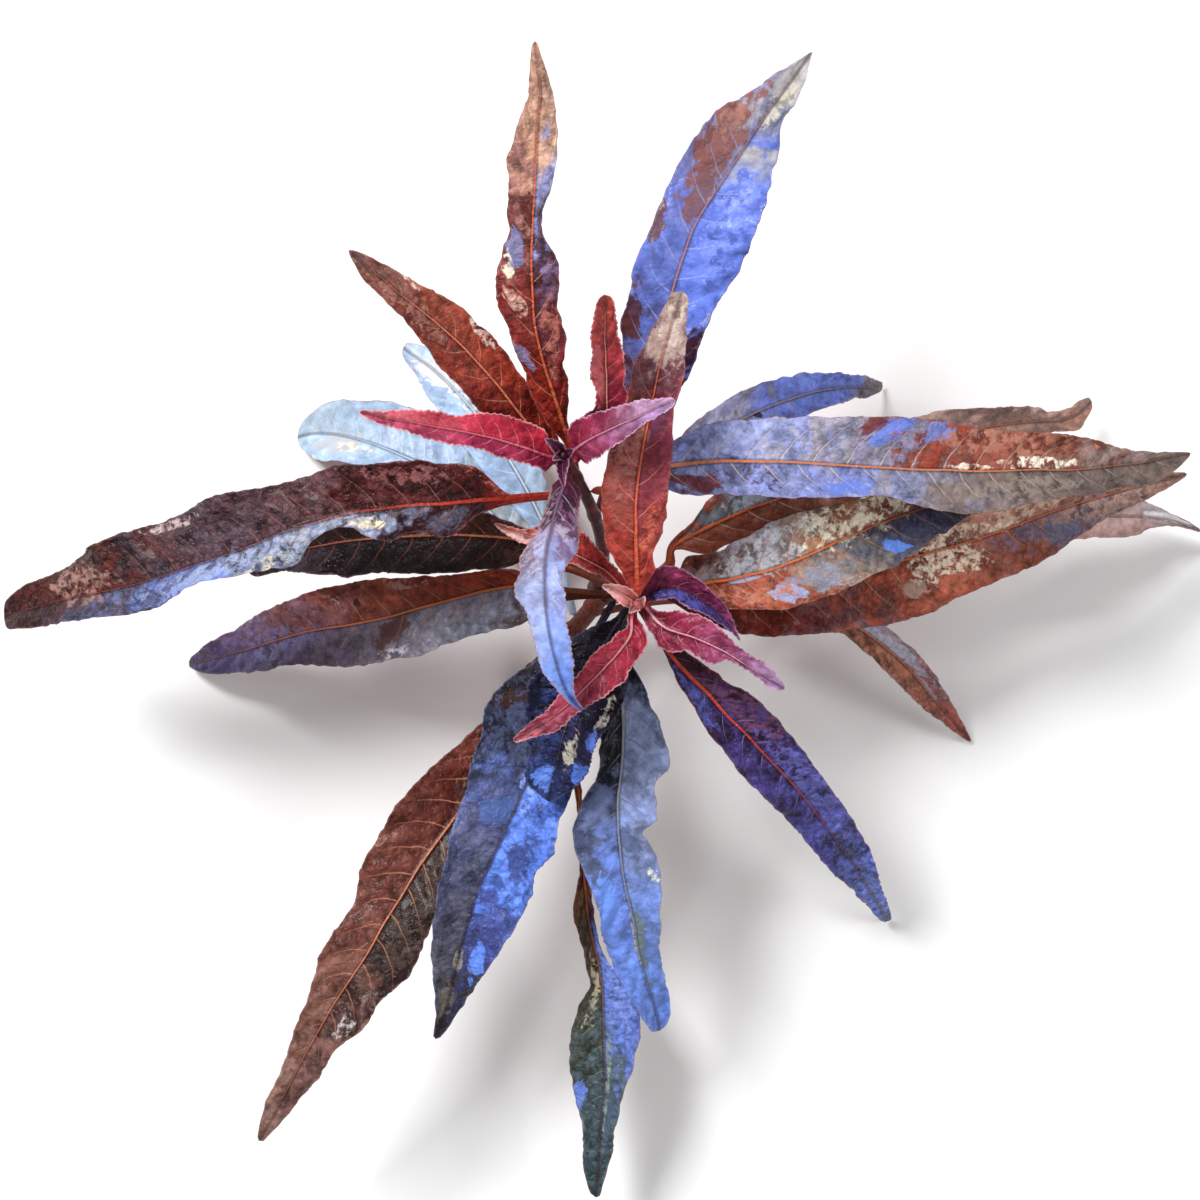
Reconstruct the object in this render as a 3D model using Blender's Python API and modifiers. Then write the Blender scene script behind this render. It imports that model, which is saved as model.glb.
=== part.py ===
"""A cutting of purple willow-leaf hygrophila: one cut stem, two leafy shoots and their crowns.

Units are metres, +Z is up, and the origin is on the surface below the middle of the plant. The cutting rests
crown up on its cut end and on the tips of its drooping leaves. Sizes in the tables are millimetres and
degrees; a heading is measured from +X towards +Y.
"""

import math
from collections import namedtuple

import bmesh
import bpy
from mathutils import Matrix, Vector

MM = 0.001
GAP = 0.3  # left between pieces that meet
STEM_POINTS = 9  # along each stem
STEM_SIDES = 2  # bevel resolution of a stem, which gives 8 sides
NODE_SWELL = 1.12  # a stem is this much thicker at every other point, where leaves grow

BLADE_STATIONS = 14  # faces along a leaf
SHORT_LEAF = 50  # a leaf under this length has fewer
SHORT_STATIONS = 10
BLADE_COLUMNS = 4  # faces across a leaf
STALK_THICK = 1.5
MARGIN_THICK = 0.5
STALK_WIDE = 1.7
TIP_WIDE = 1.0
RUFFLE_START = 0.12  # of the blade, where its margins begin to wave
KEEL_THINS = 0.6  # of the thickness that the midrib loses on the way to the tip

Stem = namedtuple("Stem", "name start bow end radius_start radius_end colour")
STEMS = [
    Stem("main_stem", (-23, -6, 1.7), (-13, 4, 12), (-5, 14, 20), 2.1, 2.0, "#6B3A30"),
    Stem("tall_shoot", (-6.8, 16, 21), (-1, 24, 45), (-12.5, 41, 82), 1.6, 1.1, "#4A2226"),
    Stem("low_shoot", (-2.8, 13.8, 21), (1, 15, 45), (2, 12, 72), 1.6, 1.1, "#5A2A28"),
]

# A leaf grows from a stem at a height, with a heading that bends by so much on the way to the tip and sways
# out and back in an S. It climbs at its rise angle and ends at its dip angle. Twist turns the blade about its
# midrib, more and more towards the tip. Fold lifts both halves into a V, and the margins wave by ruffle.
# Stalk is the share of the length before the blade, widest is where the blade is broadest, and a higher taper
# makes a longer point.
TALL, LOW, MAIN = "tall_shoot", "low_shoot", "main_stem"
Leaf = namedtuple(
    "Leaf",
    "name stem height heading bend sway length width rise dip twist fold ruffle waves phase stalk widest taper"
    " colour",
)
LEAVES = [
    Leaf("young_left", TALL, 81, 163, 8, 0, 40, 9, 32, 2, 10, 15, 0.5, 3, 0, 0.04, 0.40, 1.0, "#9C3A52"),
    Leaf("young_right", TALL, 82, 31, -14, 0, 26, 7, 49, 19, -15, 10, 0.3, 2, 90, 0.04, 0.50, 1.0, "#94506A"),
    Leaf("young_top", TALL, 78, 64, 30, 0, 38, 7, 50, 28, 20, 15, 0.4, 3, 0, 0.05, 0.60, 0.7, "#A03A3C"),
    Leaf("lavender", TALL, 78, 250, 46, 0, 47, 10, 31, -24, 25, -10, 0.8, 2, 60, 0.08, 0.45, 1.0, "#9A8FC0"),
    Leaf("top", TALL, 74, 103, -14, 7, 85, 11, 43, -7, -12, 8, 1.0, 3, 40, 0.08, 0.35, 1.0, "#9A6258"),
    Leaf("upper_left", TALL, 69, 130, 10, 0, 65, 11, 40, 5, 14, 10, 0.8, 3, 0, 0.10, 0.45, 0.9, "#8A3A2E"),
    Leaf("left_long", TALL, 68, 185, 15, 0, 132, 17, 9, -36, 18, 10, 2.2, 4, 30, 0.10, 0.42, 0.8, "#5C3A44"),
    Leaf("right_upper", TALL, 68, 6, -4, 3, 132, 18, 6, -30, -10, 8, 1.6, 3, 0, 0.05, 0.42, 1.0, "#6C6C9C"),
    Leaf("top_right", TALL, 57, 73, -17, 0, 106, 18, 38, -20, 12, 8, 1.5, 3, 50, 0.14, 0.50, 0.9, "#6F7FC0"),
    Leaf("right_blue", TALL, 43, 50, -42, 0, 92, 12, 0, -61, 20, 5, 1.2, 3, 0, 0.20, 0.50, 0.8, "#767E9E"),
    Leaf("red_rib", LOW, 69, 90, -16, 0, 63, 13, 34, -1, -12, 12, 0.8, 3, 0, 0.04, 0.45, 1.1, "#A8443A"),
    Leaf("young_low_right", LOW, 71, 344, -28, 0, 32, 9, 22, -8, 20, 10, 0.6, 2, 0, 0.03, 0.35, 0.9, "#93384E"),
    Leaf("young_low_left", LOW, 71, 239, -24, 0, 35, 11, 23, -17, -15, 15, 0.5, 2, 90, 0.03, 0.40, 1.0, "#9E4650"),
    Leaf("folded", LOW, 66, 11, -75, 0, 23, 9, 10, -15, 10, 35, 0.5, 2, 0, 0.05, 0.45, 1.0, "#7E4A8C"),
    Leaf("small_red", LOW, 66, 137, 28, 0, 32, 9, 11, -14, 15, 10, 0.5, 3, 0, 0.05, 0.45, 1.0, "#B04040"),
    Leaf("bottom_grey", LOW, 55, 260, 30, 0, 102, 17, 8, -42, -14, 6, 1.6, 3, 80, 0.10, 0.40, 0.9, "#6C6C94"),
    Leaf("bottom_right", LOW, 62, 310, 0, 0, 118, 13, -5, -65, 16, 8, 1.2, 3, 0, 0.08, 0.40, 0.9, "#5E4468"),
    Leaf("crumpled", LOW, 60, 235, 28, 0, 46, 19, 26, -34, 25, 10, 2.5, 2, 45, 0.08, 0.50, 0.8, "#2A2A48"),
    Leaf("right_glossy", LOW, 55, 14, 0, 6, 74, 19, 12, -24, -10, 8, 1.5, 3, 90, 0.10, 0.45, 1.0, "#8C6460"),
    Leaf("right_long", LOW, 45, 0, 27, 0, 129, 20, 6, -24, 12, 5, 1.5, 3, 0, 0.06, 0.36, 0.9, "#84504A"),
    Leaf("right_back", LOW, 39, 32, -20, 0, 122, 14, 8, -40, 25, 6, 1.5, 3, 30, 0.15, 0.50, 0.9, "#8A7468"),
    Leaf("right_far", LOW, 31, 17, -22, 0, 137, 14, 4, -26, -15, 6, 1.2, 3, 0, 0.15, 0.60, 0.9, "#A87C78"),
    Leaf("left_dark", LOW, 47, 153, 52, 0, 90, 14, 7, -36, -16, 5, 1.2, 3, 0, 0.15, 0.45, 1.0, "#3E2426"),
    Leaf("left_low", LOW, 41, 182, 15, 0, 111, 18, -1, -45, 14, 6, 1.4, 3, 60, 0.12, 0.42, 1.0, "#6A4A50"),
    Leaf("bottom_blue", LOW, 30, 238, 20, 0, 106, 19, 38, -25, -12, 6, 1.8, 3, 20, 0.10, 0.37, 1.0, "#4E5A9A"),
    Leaf("right_low", MAIN, 17.5, 14, -74, 0, 104, 11, 20, -42, 12, 5, 1.0, 3, 0, 0.15, 0.55, 0.9, "#A87868"),
    Leaf("upper_left_pale", MAIN, 15, 104, 42, 0, 82, 14, 25, -50, -15, 5, 1.0, 3, 0, 0.15, 0.55, 0.9, "#A9BED8"),
    Leaf("left_pale", MAIN, 12, 110, 74, 0, 86, 15, 20, -38, 20, 5, 1.0, 3, 0, 0.15, 0.60, 0.5, "#B4C6DC"),
    Leaf("bottom_left", MAIN, 16, 236, 4, -4, 136, 18, 36, -20, 10, 6, 1.5, 3, 0, 0.14, 0.42, 1.0, "#6E3228"),
    Leaf("bottom", MAIN, 8, 283, -18, 5, 123, 13, 22, -14, 30, 8, 1.6, 3, 0, 0.20, 0.60, 0.9, "#5E6A78"),
]

# The unopened leaves of a bud: heading, length, width and rise of each.
Bud = namedtuple("Bud", "name stem radius colour leaflets")
BUDS = [
    Bud("tall_bud", "tall_shoot", 1.3, "#3A1F26", [(120, 5, 2, 70), (300, 4, 2, 75), (200, 6, 2, 60)]),
    Bud("low_bud", "low_shoot", 1.3, "#B07078", [(200, 6, 3, 45), (20, 4, 2, 70), (290, 4, 2, 60)]),
]


def linear(hex_colour):
    """The four linear values of a colour written as in a web page."""
    values = [int(hex_colour[i : i + 2], 16) / 255 for i in (1, 3, 5)]
    return [v / 12.92 if v <= 0.04045 else ((v + 0.055) / 1.055) ** 2.4 for v in values] + [1]


def material(name, colour, roughness):
    made = bpy.data.materials.new(name)
    made.use_nodes = True
    shader = made.node_tree.nodes["Principled BSDF"]
    shader.inputs["Base Color"].default_value = linear(colour)
    shader.inputs["Roughness"].default_value = roughness
    shader.inputs["Metallic"].default_value = 0
    made.diffuse_color = linear(colour)
    return made


def collection(name, hidden=False):
    made = bpy.data.collections.new(name)
    bpy.context.scene.collection.children.link(made)
    made.hide_render = hidden
    return made


def stem_point(stem, share):
    """A point on the stem's axis: a curve from its start to its end, pulled towards its bow point."""
    start, bow, end = Vector(stem.start), Vector(stem.bow), Vector(stem.end)
    return start * (1 - share) ** 2 + bow * 2 * share * (1 - share) + end * share**2


def stem_radius(stem, share):
    return stem.radius_start + (stem.radius_end - stem.radius_start) * share


def share_at(stem, height):
    """How far along the stem a height lies, found by halving."""
    low, high = 0, 1
    for _ in range(30):
        middle = (low + high) / 2
        low, high = (middle, high) if stem_point(stem, middle).z < height else (low, middle)
    return low


def make_stem(stem, parts):
    curve = bpy.data.curves.new(stem.name, "CURVE")
    curve.dimensions = "3D"
    curve.bevel_depth = 1 * MM
    curve.bevel_resolution = STEM_SIDES
    curve.use_fill_caps = True
    spline = curve.splines.new("POLY")
    spline.points.add(STEM_POINTS - 1)
    for i, point in enumerate(spline.points):
        share = i / (STEM_POINTS - 1)
        point.co = (*(stem_point(stem, share) * MM), 1)
        point.radius = stem_radius(stem, share) * (NODE_SWELL if i % 2 else 1)
    made = bpy.data.objects.new(stem.name, curve)
    curve.materials.append(material(stem.name, stem.colour, 0.45))
    parts.objects.link(made)
    return made


def leaf_frames(base, leaf, count):
    """The midrib's points from stalk to tip, with the side and upward directions of the blade at each."""
    frames = []
    point = Vector(base)
    for i in range(count + 1):
        share = i / count
        heading = math.radians(leaf.heading + leaf.bend * share + leaf.sway * math.sin(math.tau * share))
        pitch = math.radians(leaf.rise + (leaf.dip - leaf.rise) * share)
        level = Vector((math.cos(heading), math.sin(heading), 0))
        along = level * math.cos(pitch) + Vector((0, 0, math.sin(pitch)))
        turn = Matrix.Rotation(math.radians(leaf.twist * share), 3, along)
        side = turn @ Vector((-math.sin(heading), math.cos(heading), 0))
        frames.append((point.copy(), side, along.cross(side)))
        point += along * leaf.length / count
    return frames


def blade_half_width(leaf, share):
    """Half the leaf's width: a narrow stalk, then a blade that is widest part way and ends in a fine tip."""
    blade = max(0, (share - leaf.stalk) / (1 - leaf.stalk))
    rising = leaf.taper * leaf.widest / (1 - leaf.widest)
    peak = leaf.widest**rising * (1 - leaf.widest) ** leaf.taper
    shape = blade**rising * (1 - blade) ** leaf.taper / peak
    narrowest = STALK_WIDE + (TIP_WIDE - STALK_WIDE) * share
    return max(narrowest, leaf.width * shape) / 2


def leaf_base(leaf):
    """Where the leaf's stalk starts, just clear of its stem."""
    stem = next(s for s in STEMS if s.name == leaf.stem)
    share = share_at(stem, leaf.height)
    heading = math.radians(leaf.heading)
    along = (stem_point(stem, share + 0.01) - stem_point(stem, share)).normalized()
    out = Vector((math.cos(heading), math.sin(heading), 0))
    out = (out - along * out.dot(along)).normalized()
    sideways = abs(out.y * math.cos(heading) - out.x * math.sin(heading))
    stalk = STALK_THICK * max(0, out.z) + STALK_WIDE / 2 * sideways
    clear = stem_radius(stem, share) * NODE_SWELL + GAP + stalk
    return stem_point(stem, share) + out * clear


def make_blade(leaf, base, stations):
    """A leaf as an open grid bent along its midrib and thickened, with the thickness in a vertex group."""
    name = "leaf_" + leaf.name
    mesh = bpy.data.meshes.new(name)
    bm = bmesh.new()
    bmesh.ops.create_grid(bm, x_segments=stations, y_segments=BLADE_COLUMNS, size=1)
    frames = leaf_frames(base, leaf, stations)
    weights = []
    for vertex in bm.verts:
        share, across = (vertex.co.x + 1) / 2, vertex.co.y
        point, side, up = frames[round(share * stations)]
        reach = across * blade_half_width(leaf, share)
        blade = max(0, (share - leaf.stalk) / (1 - leaf.stalk))
        wave = math.sin(math.radians(leaf.phase + 360 * leaf.waves * blade + 90 * (across < 0)))
        lift = leaf.ruffle * wave * across**2 * min(1, blade / RUFFLE_START, (1 - blade) / RUFFLE_START)
        fold = math.radians(leaf.fold)
        vertex.co = (point + side * reach * math.cos(fold) + up * (abs(reach) * math.sin(fold) + lift)) * MM
        weights.append((1 - abs(across)) ** 2 * (1 - KEEL_THINS * blade) if blade else 1)
    bm.to_mesh(mesh)
    bm.free()
    made = bpy.data.objects.new(name, mesh)
    group = made.vertex_groups.new(name="thick")
    for i, weight in enumerate(weights):
        group.add([i], weight, "REPLACE")
    solidify = made.modifiers.new("Thickness", "SOLIDIFY")
    solidify.thickness = STALK_THICK * MM
    solidify.offset = -1
    solidify.vertex_group = "thick"
    solidify.thickness_vertex_group = MARGIN_THICK / STALK_THICK
    mesh.shade_smooth()
    return made


def make_leaf(leaf, parts):
    stations = BLADE_STATIONS if leaf.length > SHORT_LEAF else SHORT_STATIONS
    made = make_blade(leaf, leaf_base(leaf), stations)
    made.data.materials.append(material(made.name, leaf.colour, 0.35))
    parts.objects.link(made)
    return made


def make_bud(bud, parts, pieces):
    """A small knob above the shoot's tip with its unopened leaves fused to it."""
    stem = next(s for s in STEMS if s.name == bud.stem)
    knob_centre = Vector(stem.end) + Vector((0, 0, bud.radius + 2 * GAP))
    mesh = bpy.data.meshes.new(bud.name)
    bm = bmesh.new()
    bmesh.ops.create_uvsphere(bm, u_segments=8, v_segments=6, radius=bud.radius * MM)
    bm.to_mesh(mesh)
    bm.free()
    made = bpy.data.objects.new(bud.name, mesh)
    made.location = knob_centre * MM
    mesh.materials.append(material(bud.name, bud.colour, 0.4))
    parts.objects.link(made)
    for i, (heading, length, width, rise) in enumerate(bud.leaflets):
        leaflet = Leaf(f"{bud.name}_{i}", bud.stem, 0, heading, 0, 0, length, width, rise, rise - 25, 0, 20, 0,
                       1, 0, 0, 0.4, 1, bud.colour)
        piece = make_blade(leaflet, knob_centre, 4)
        piece.hide_render = True
        piece.display_type = "WIRE"
        pieces.objects.link(piece)
        union = made.modifiers.new(piece.name, "BOOLEAN")
        union.operation = "UNION"
        union.object = piece
    return made


for old in list(bpy.data.objects):
    bpy.data.objects.remove(old)

plant = collection("purple_hygrophila")
bud_pieces = collection("bud_pieces", hidden=True)
for one in STEMS:
    make_stem(one, plant)
for one in LEAVES:
    make_leaf(one, plant)
for one in BUDS:
    make_bud(one, plant, bud_pieces)
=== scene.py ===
import math
from collections import namedtuple

import bpy
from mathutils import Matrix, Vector


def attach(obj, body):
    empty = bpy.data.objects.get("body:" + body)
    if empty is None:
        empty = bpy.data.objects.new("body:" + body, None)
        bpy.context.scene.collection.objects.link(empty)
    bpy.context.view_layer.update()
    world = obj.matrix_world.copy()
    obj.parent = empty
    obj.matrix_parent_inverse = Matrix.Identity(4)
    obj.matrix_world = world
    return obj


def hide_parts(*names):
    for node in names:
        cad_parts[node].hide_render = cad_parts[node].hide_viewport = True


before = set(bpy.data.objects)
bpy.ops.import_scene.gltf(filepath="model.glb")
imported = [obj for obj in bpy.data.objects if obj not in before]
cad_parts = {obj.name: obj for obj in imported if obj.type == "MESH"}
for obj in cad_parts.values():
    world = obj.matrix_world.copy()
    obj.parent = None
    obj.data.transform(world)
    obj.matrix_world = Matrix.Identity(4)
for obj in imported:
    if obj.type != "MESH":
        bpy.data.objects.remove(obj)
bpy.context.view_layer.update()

# Camera. It looks straight down on the plant from half a metre above the surface, with +Y at the top of the
# picture, so the leaves spread round the two crowns as they do in the photograph.
camera = bpy.data.objects.new("camera", bpy.data.cameras.new("camera"))
camera.data.sensor_width = 36
camera.data.lens = 62.4
camera.location = (-0.0055, 0.013, 0.487)
bpy.context.scene.collection.objects.link(camera)
bpy.context.scene.camera = camera

# Stems. The cut stem lies low and forks into two shoots that grow out of its end. Each is a soft, round, fleshy
# stem with a swollen ring at every joint where leaves grow, and with fine ridges along it. Sizes are in
# millimetres here and in the sections below.
MM = 0.001
STEM_STEPS = 72  # faces along a stem
STEM_SIDES = 28  # and round it
JOINTS = 4  # swollen rings along a stem
SWELL = 0.2  # of the stem's radius that a ring adds
RING_REACH = 0.16  # of the way to the next ring that the swelling takes to fade

# A shoot's root lies inside the main stem's end. Skin is a stem's colour, and ridge is the lighter colour of
# a painted highlight on its fine ridges.
Stem = namedtuple("Stem", "name start bow end radius_start radius_end root skin ridge")
STEMS = [
    Stem("main_stem", (-23, -6, 1.7), (-13, 4, 12), (-5, 14, 20), 2.1, 2.0, None, "#562620", "#7E4636"),
    Stem("tall_shoot", (-6.8, 16, 21), (-1, 24, 45), (-12.5, 41, 82), 1.6, 1.1, (-5.4, 13.6, 18.6), "#2A0C12",
         "#56262A"),
    Stem("low_shoot", (-2.8, 13.8, 21), (1, 15, 45), (2, 12, 72), 1.6, 1.1, (-5.2, 13.2, 18.6), "#36141A",
         "#602E2C"),
]


def linear(hex_colour):
    """The four linear values of a colour written as in a web page."""
    values = [int(hex_colour[i : i + 2], 16) / 255 for i in (1, 3, 5)]
    return [v / 12.92 if v <= 0.04045 else ((v + 0.055) / 1.055) ** 2.4 for v in values] + [1]


def add(tree, kind, inputs=(), **settings):
    """Adds a node with its settings to a tree, and fills its inputs by order or name with values or links."""
    node = tree.nodes.new(kind)
    for name, value in settings.items():
        setattr(node, name, value)
    open_inputs = [socket for socket in node.inputs if socket.enabled]
    if isinstance(inputs, dict):
        pairs = [(next(s for s in open_inputs if s.name == name), value) for name, value in inputs.items()]
    else:
        pairs = list(zip(open_inputs, inputs))
    for socket, value in pairs:
        if isinstance(value, bpy.types.Node):
            value = next(s for s in value.outputs if s.enabled)
        if isinstance(value, bpy.types.NodeSocket):
            tree.links.new(value, socket)
        elif value is not None:
            socket.default_value = value
    return node


def growth_tree(name, sizes):
    """An empty Geometry Nodes tree that grows a mesh on a line, with named inputs for its sizes."""
    tree = bpy.data.node_groups.new(name, "GeometryNodeTree")
    tree.interface.new_socket("Mesh", in_out="OUTPUT", socket_type="NodeSocketGeometry")
    tree.interface.new_socket("Path", in_out="INPUT", socket_type="NodeSocketGeometry")
    for size, kind in sizes.items():
        tree.interface.new_socket(size, in_out="INPUT", socket_type="NodeSocket" + kind)
    return tree


def path_line(name, points, **measures):
    """A line through points in millimetres, which carries a list of measures for them under each name."""
    line = bpy.data.meshes.new(name)
    line.from_pydata([point * MM for point in points], [(i, i + 1) for i in range(len(points) - 1)], [])
    for measure, values in measures.items():
        line.attributes.new(measure, "FLOAT", "POINT").data.foreach_set("value", values)
    made = bpy.data.objects.new(name, line)
    bpy.context.scene.collection.objects.link(made)
    return made


def grown(line, tree, values):
    """The plain mesh object that a tree grows on the line, which is used up."""
    growth = line.modifiers.new("growth", "NODES")
    growth.node_group = tree
    for item in tree.interface.items_tree:
        if item.name in values:
            growth[item.identifier] = values[item.name]
    graph = bpy.context.evaluated_depsgraph_get()
    mesh = bpy.data.meshes.new_from_object(
        line.evaluated_get(graph), preserve_all_data_layers=True, depsgraph=graph)
    name = line.name
    bpy.data.objects.remove(line)
    mesh.name = name
    made = bpy.data.objects.new(name, mesh)
    bpy.context.scene.collection.objects.link(made)
    return made


def stem_point(stem, share):
    """A point on the stem's axis, which is a curve from its start to its end, pulled towards its bow."""
    start, bow, end = Vector(stem.start), Vector(stem.bow), Vector(stem.end)
    return start * (1 - share) ** 2 + bow * 2 * share * (1 - share) + end * share**2


def stem_radius(stem, share):
    """The stem's radius there, before its rings."""
    return stem.radius_start + (stem.radius_end - stem.radius_start) * share


# A round section runs along the stem's axis, which carries the radius, and swells into a ring at each joint.
stem_tree = growth_tree("fleshy stem", {
    "Joints": "Float", "Swell": "Float", "Sides": "Int", "Skin": "Material"})
given = add(stem_tree, "NodeGroupInput").outputs
axis = add(stem_tree, "GeometryNodeMeshToCurve", [given["Path"]])
axis = add(stem_tree, "GeometryNodeSetCurveNormal", {"Curve": axis}, mode="Z_UP")
along = add(stem_tree, "GeometryNodeSplineParameter").outputs["Factor"]
near = add(stem_tree, "ShaderNodeMath", [along, given["Joints"]], operation="MULTIPLY")
near = add(stem_tree, "ShaderNodeMath", [near], operation="FRACT")
near = add(stem_tree, "ShaderNodeMath", [near, 0.5], operation="SUBTRACT")
near = add(stem_tree, "ShaderNodeMath", [near], operation="ABSOLUTE")
ring = add(stem_tree, "ShaderNodeMapRange", [near, 0, RING_REACH, 1, 0], interpolation_type="SMOOTHSTEP")
thicker = add(stem_tree, "ShaderNodeMath", [ring, given["Swell"], 1], operation="MULTIPLY_ADD")
radius = add(stem_tree, "GeometryNodeInputNamedAttribute", ["radius"], data_type="FLOAT")
radius = add(stem_tree, "ShaderNodeMath", [radius, thicker], operation="MULTIPLY")
round_section = add(stem_tree, "GeometryNodeCurvePrimitiveCircle", [given["Sides"]])
round_section.inputs["Radius"].default_value = MM
tube = add(stem_tree, "GeometryNodeCurveToMesh", {
    "Curve": axis, "Profile Curve": round_section, "Scale": radius, "Fill Caps": True})
tube = add(stem_tree, "GeometryNodeSetShadeSmooth", [tube])
tube = add(stem_tree, "GeometryNodeRealizeInstances", [tube])
tube = add(stem_tree, "GeometryNodeSetMaterial", {"Geometry": tube, "Material": given["Skin"]})
add(stem_tree, "NodeGroupOutput", [tube])


def stem_skin(name, skin, ridge):
    """Young stem skin: smooth, waxy and dark, with a painted highlight that makes it lighter on its fine ridges
    and gives it a soft, grained shine. The ridges are 0.7 mm wide and 6 mm long, and the red blush on it lies
    in patches of 7 mm."""
    material = bpy.data.materials.new(name)
    material.use_nodes = True
    tree = material.node_tree
    shader = tree.nodes["Principled BSDF"]
    place = add(tree, "ShaderNodeTexCoord").outputs["Object"]
    upright = add(tree, "ShaderNodeMapping", {"Vector": place, "Scale": (1500, 1500, 160)})
    streaks = add(tree, "ShaderNodeTexNoise", {"Vector": upright, "Scale": 1, "Detail": 4, "Roughness": 0.6})
    spread = add(tree, "ShaderNodeMapRange", [streaks, 0.35, 0.65, 0.0, 1.0])
    colour = add(tree, "ShaderNodeMix", [spread, linear(skin), linear(ridge)], data_type="RGBA")
    blush = add(tree, "ShaderNodeTexNoise", {"Vector": place, "Scale": 140, "Detail": 3})
    blush = add(tree, "ShaderNodeMapRange", [blush, 0.5, 0.65, 0.0, 0.5])
    colour = add(tree, "ShaderNodeMix", [blush, colour, linear("#8E2E34")], data_type="RGBA")
    gloss = add(tree, "ShaderNodeMapRange", [streaks, 0.3, 0.7, 0.28, 0.5])
    bump = add(tree, "ShaderNodeBump", {"Strength": 0.5, "Distance": 0.2 * MM, "Height": streaks})
    tree.links.new(colour.outputs["Result"], shader.inputs["Base Color"])
    tree.links.new(gloss.outputs["Result"], shader.inputs["Roughness"])
    tree.links.new(bump.outputs["Normal"], shader.inputs["Normal"])
    shader.inputs["Specular IOR Level"].default_value = 0.2
    return material


for stem in STEMS:
    shares = [i / STEM_STEPS for i in range(STEM_STEPS + 1)]
    points = [stem_point(stem, s) for s in shares]
    radii = [stem_radius(stem, s) for s in shares]
    if stem.root:
        points, radii = [Vector(stem.root)] + points, radii[:1] + radii
    line = path_line(stem.name + "_skin", points, radius=radii)
    piece = grown(line, stem_tree, {
        "Joints": float(JOINTS), "Swell": SWELL, "Sides": STEM_SIDES,
        "Skin": stem_skin(stem.name + "_skin", stem.skin, stem.ridge)})
    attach(piece, "root")
    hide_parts(stem.name)

# Leaves. Each is a long willow-shaped blade on a short stalk: a thin waxy skin with wavy, finely scalloped
# margins, a thick round midrib that stands out below, and side veins with the skin quilted between them.
# Young leaves are finer in everything, and have small teeth.
YOUNG = 50  # the length below which a leaf is young
LEAF_STEP, YOUNG_STEP = 0.7, 0.35  # between the rows of faces along a leaf, old and young
LEAF_COLUMNS = 40  # faces across a leaf
PAIR_SPACING, YOUNG_SPACING = 7, 3.6  # between the side veins along a leaf
SLANT = 0.8  # of that spacing, how far a side vein has bent towards the tip where it meets the margin
STRAIGHT = 0.6  # of that bend, how far it has run on in a straight line besides
SCALLOP, YOUNG_SCALLOP = 1.8, 0.8  # about twice how deep the scallops are
TOOTH = 0.35  # how deep a young leaf's teeth are
QUILTING, YOUNG_QUILTING = 0.45, 0.25  # how far the skin swells between the side veins
CRUMPLE = 2.4  # of a leaf's ruffle, how far its skin is dented
STALK_WIDE, STALK_THICK = 1.7, 1.5
RIB_THIN, RIB_HEIGHT = 0.6, 0.3  # how thick the midrib is at the tip, and how far it stands out above
BLADE_THICK = 0.45
LEAST_HALF = 0.3  # the least half width of a blade
NODE_SWELL = 1.12  # of the stem's radius, how wide a joint is where a leaf grows
GAP = 0.3  # between the solids' stalks and their stems
ROOTED = 0.9  # how much farther back a stalk starts here, so that it meets the stem's skin
SOLID_STEPS, YOUNG_SOLID_STEPS = 14, 10  # faces along the solids' leaves
APART = 9.0  # how far apart the patterns of a leaf's two sides are taken
SAME_SPOT = 0.0003  # points of the skin that are closer than this are one

TALL, LOW, MAIN = "tall_shoot", "low_shoot", "main_stem"
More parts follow.
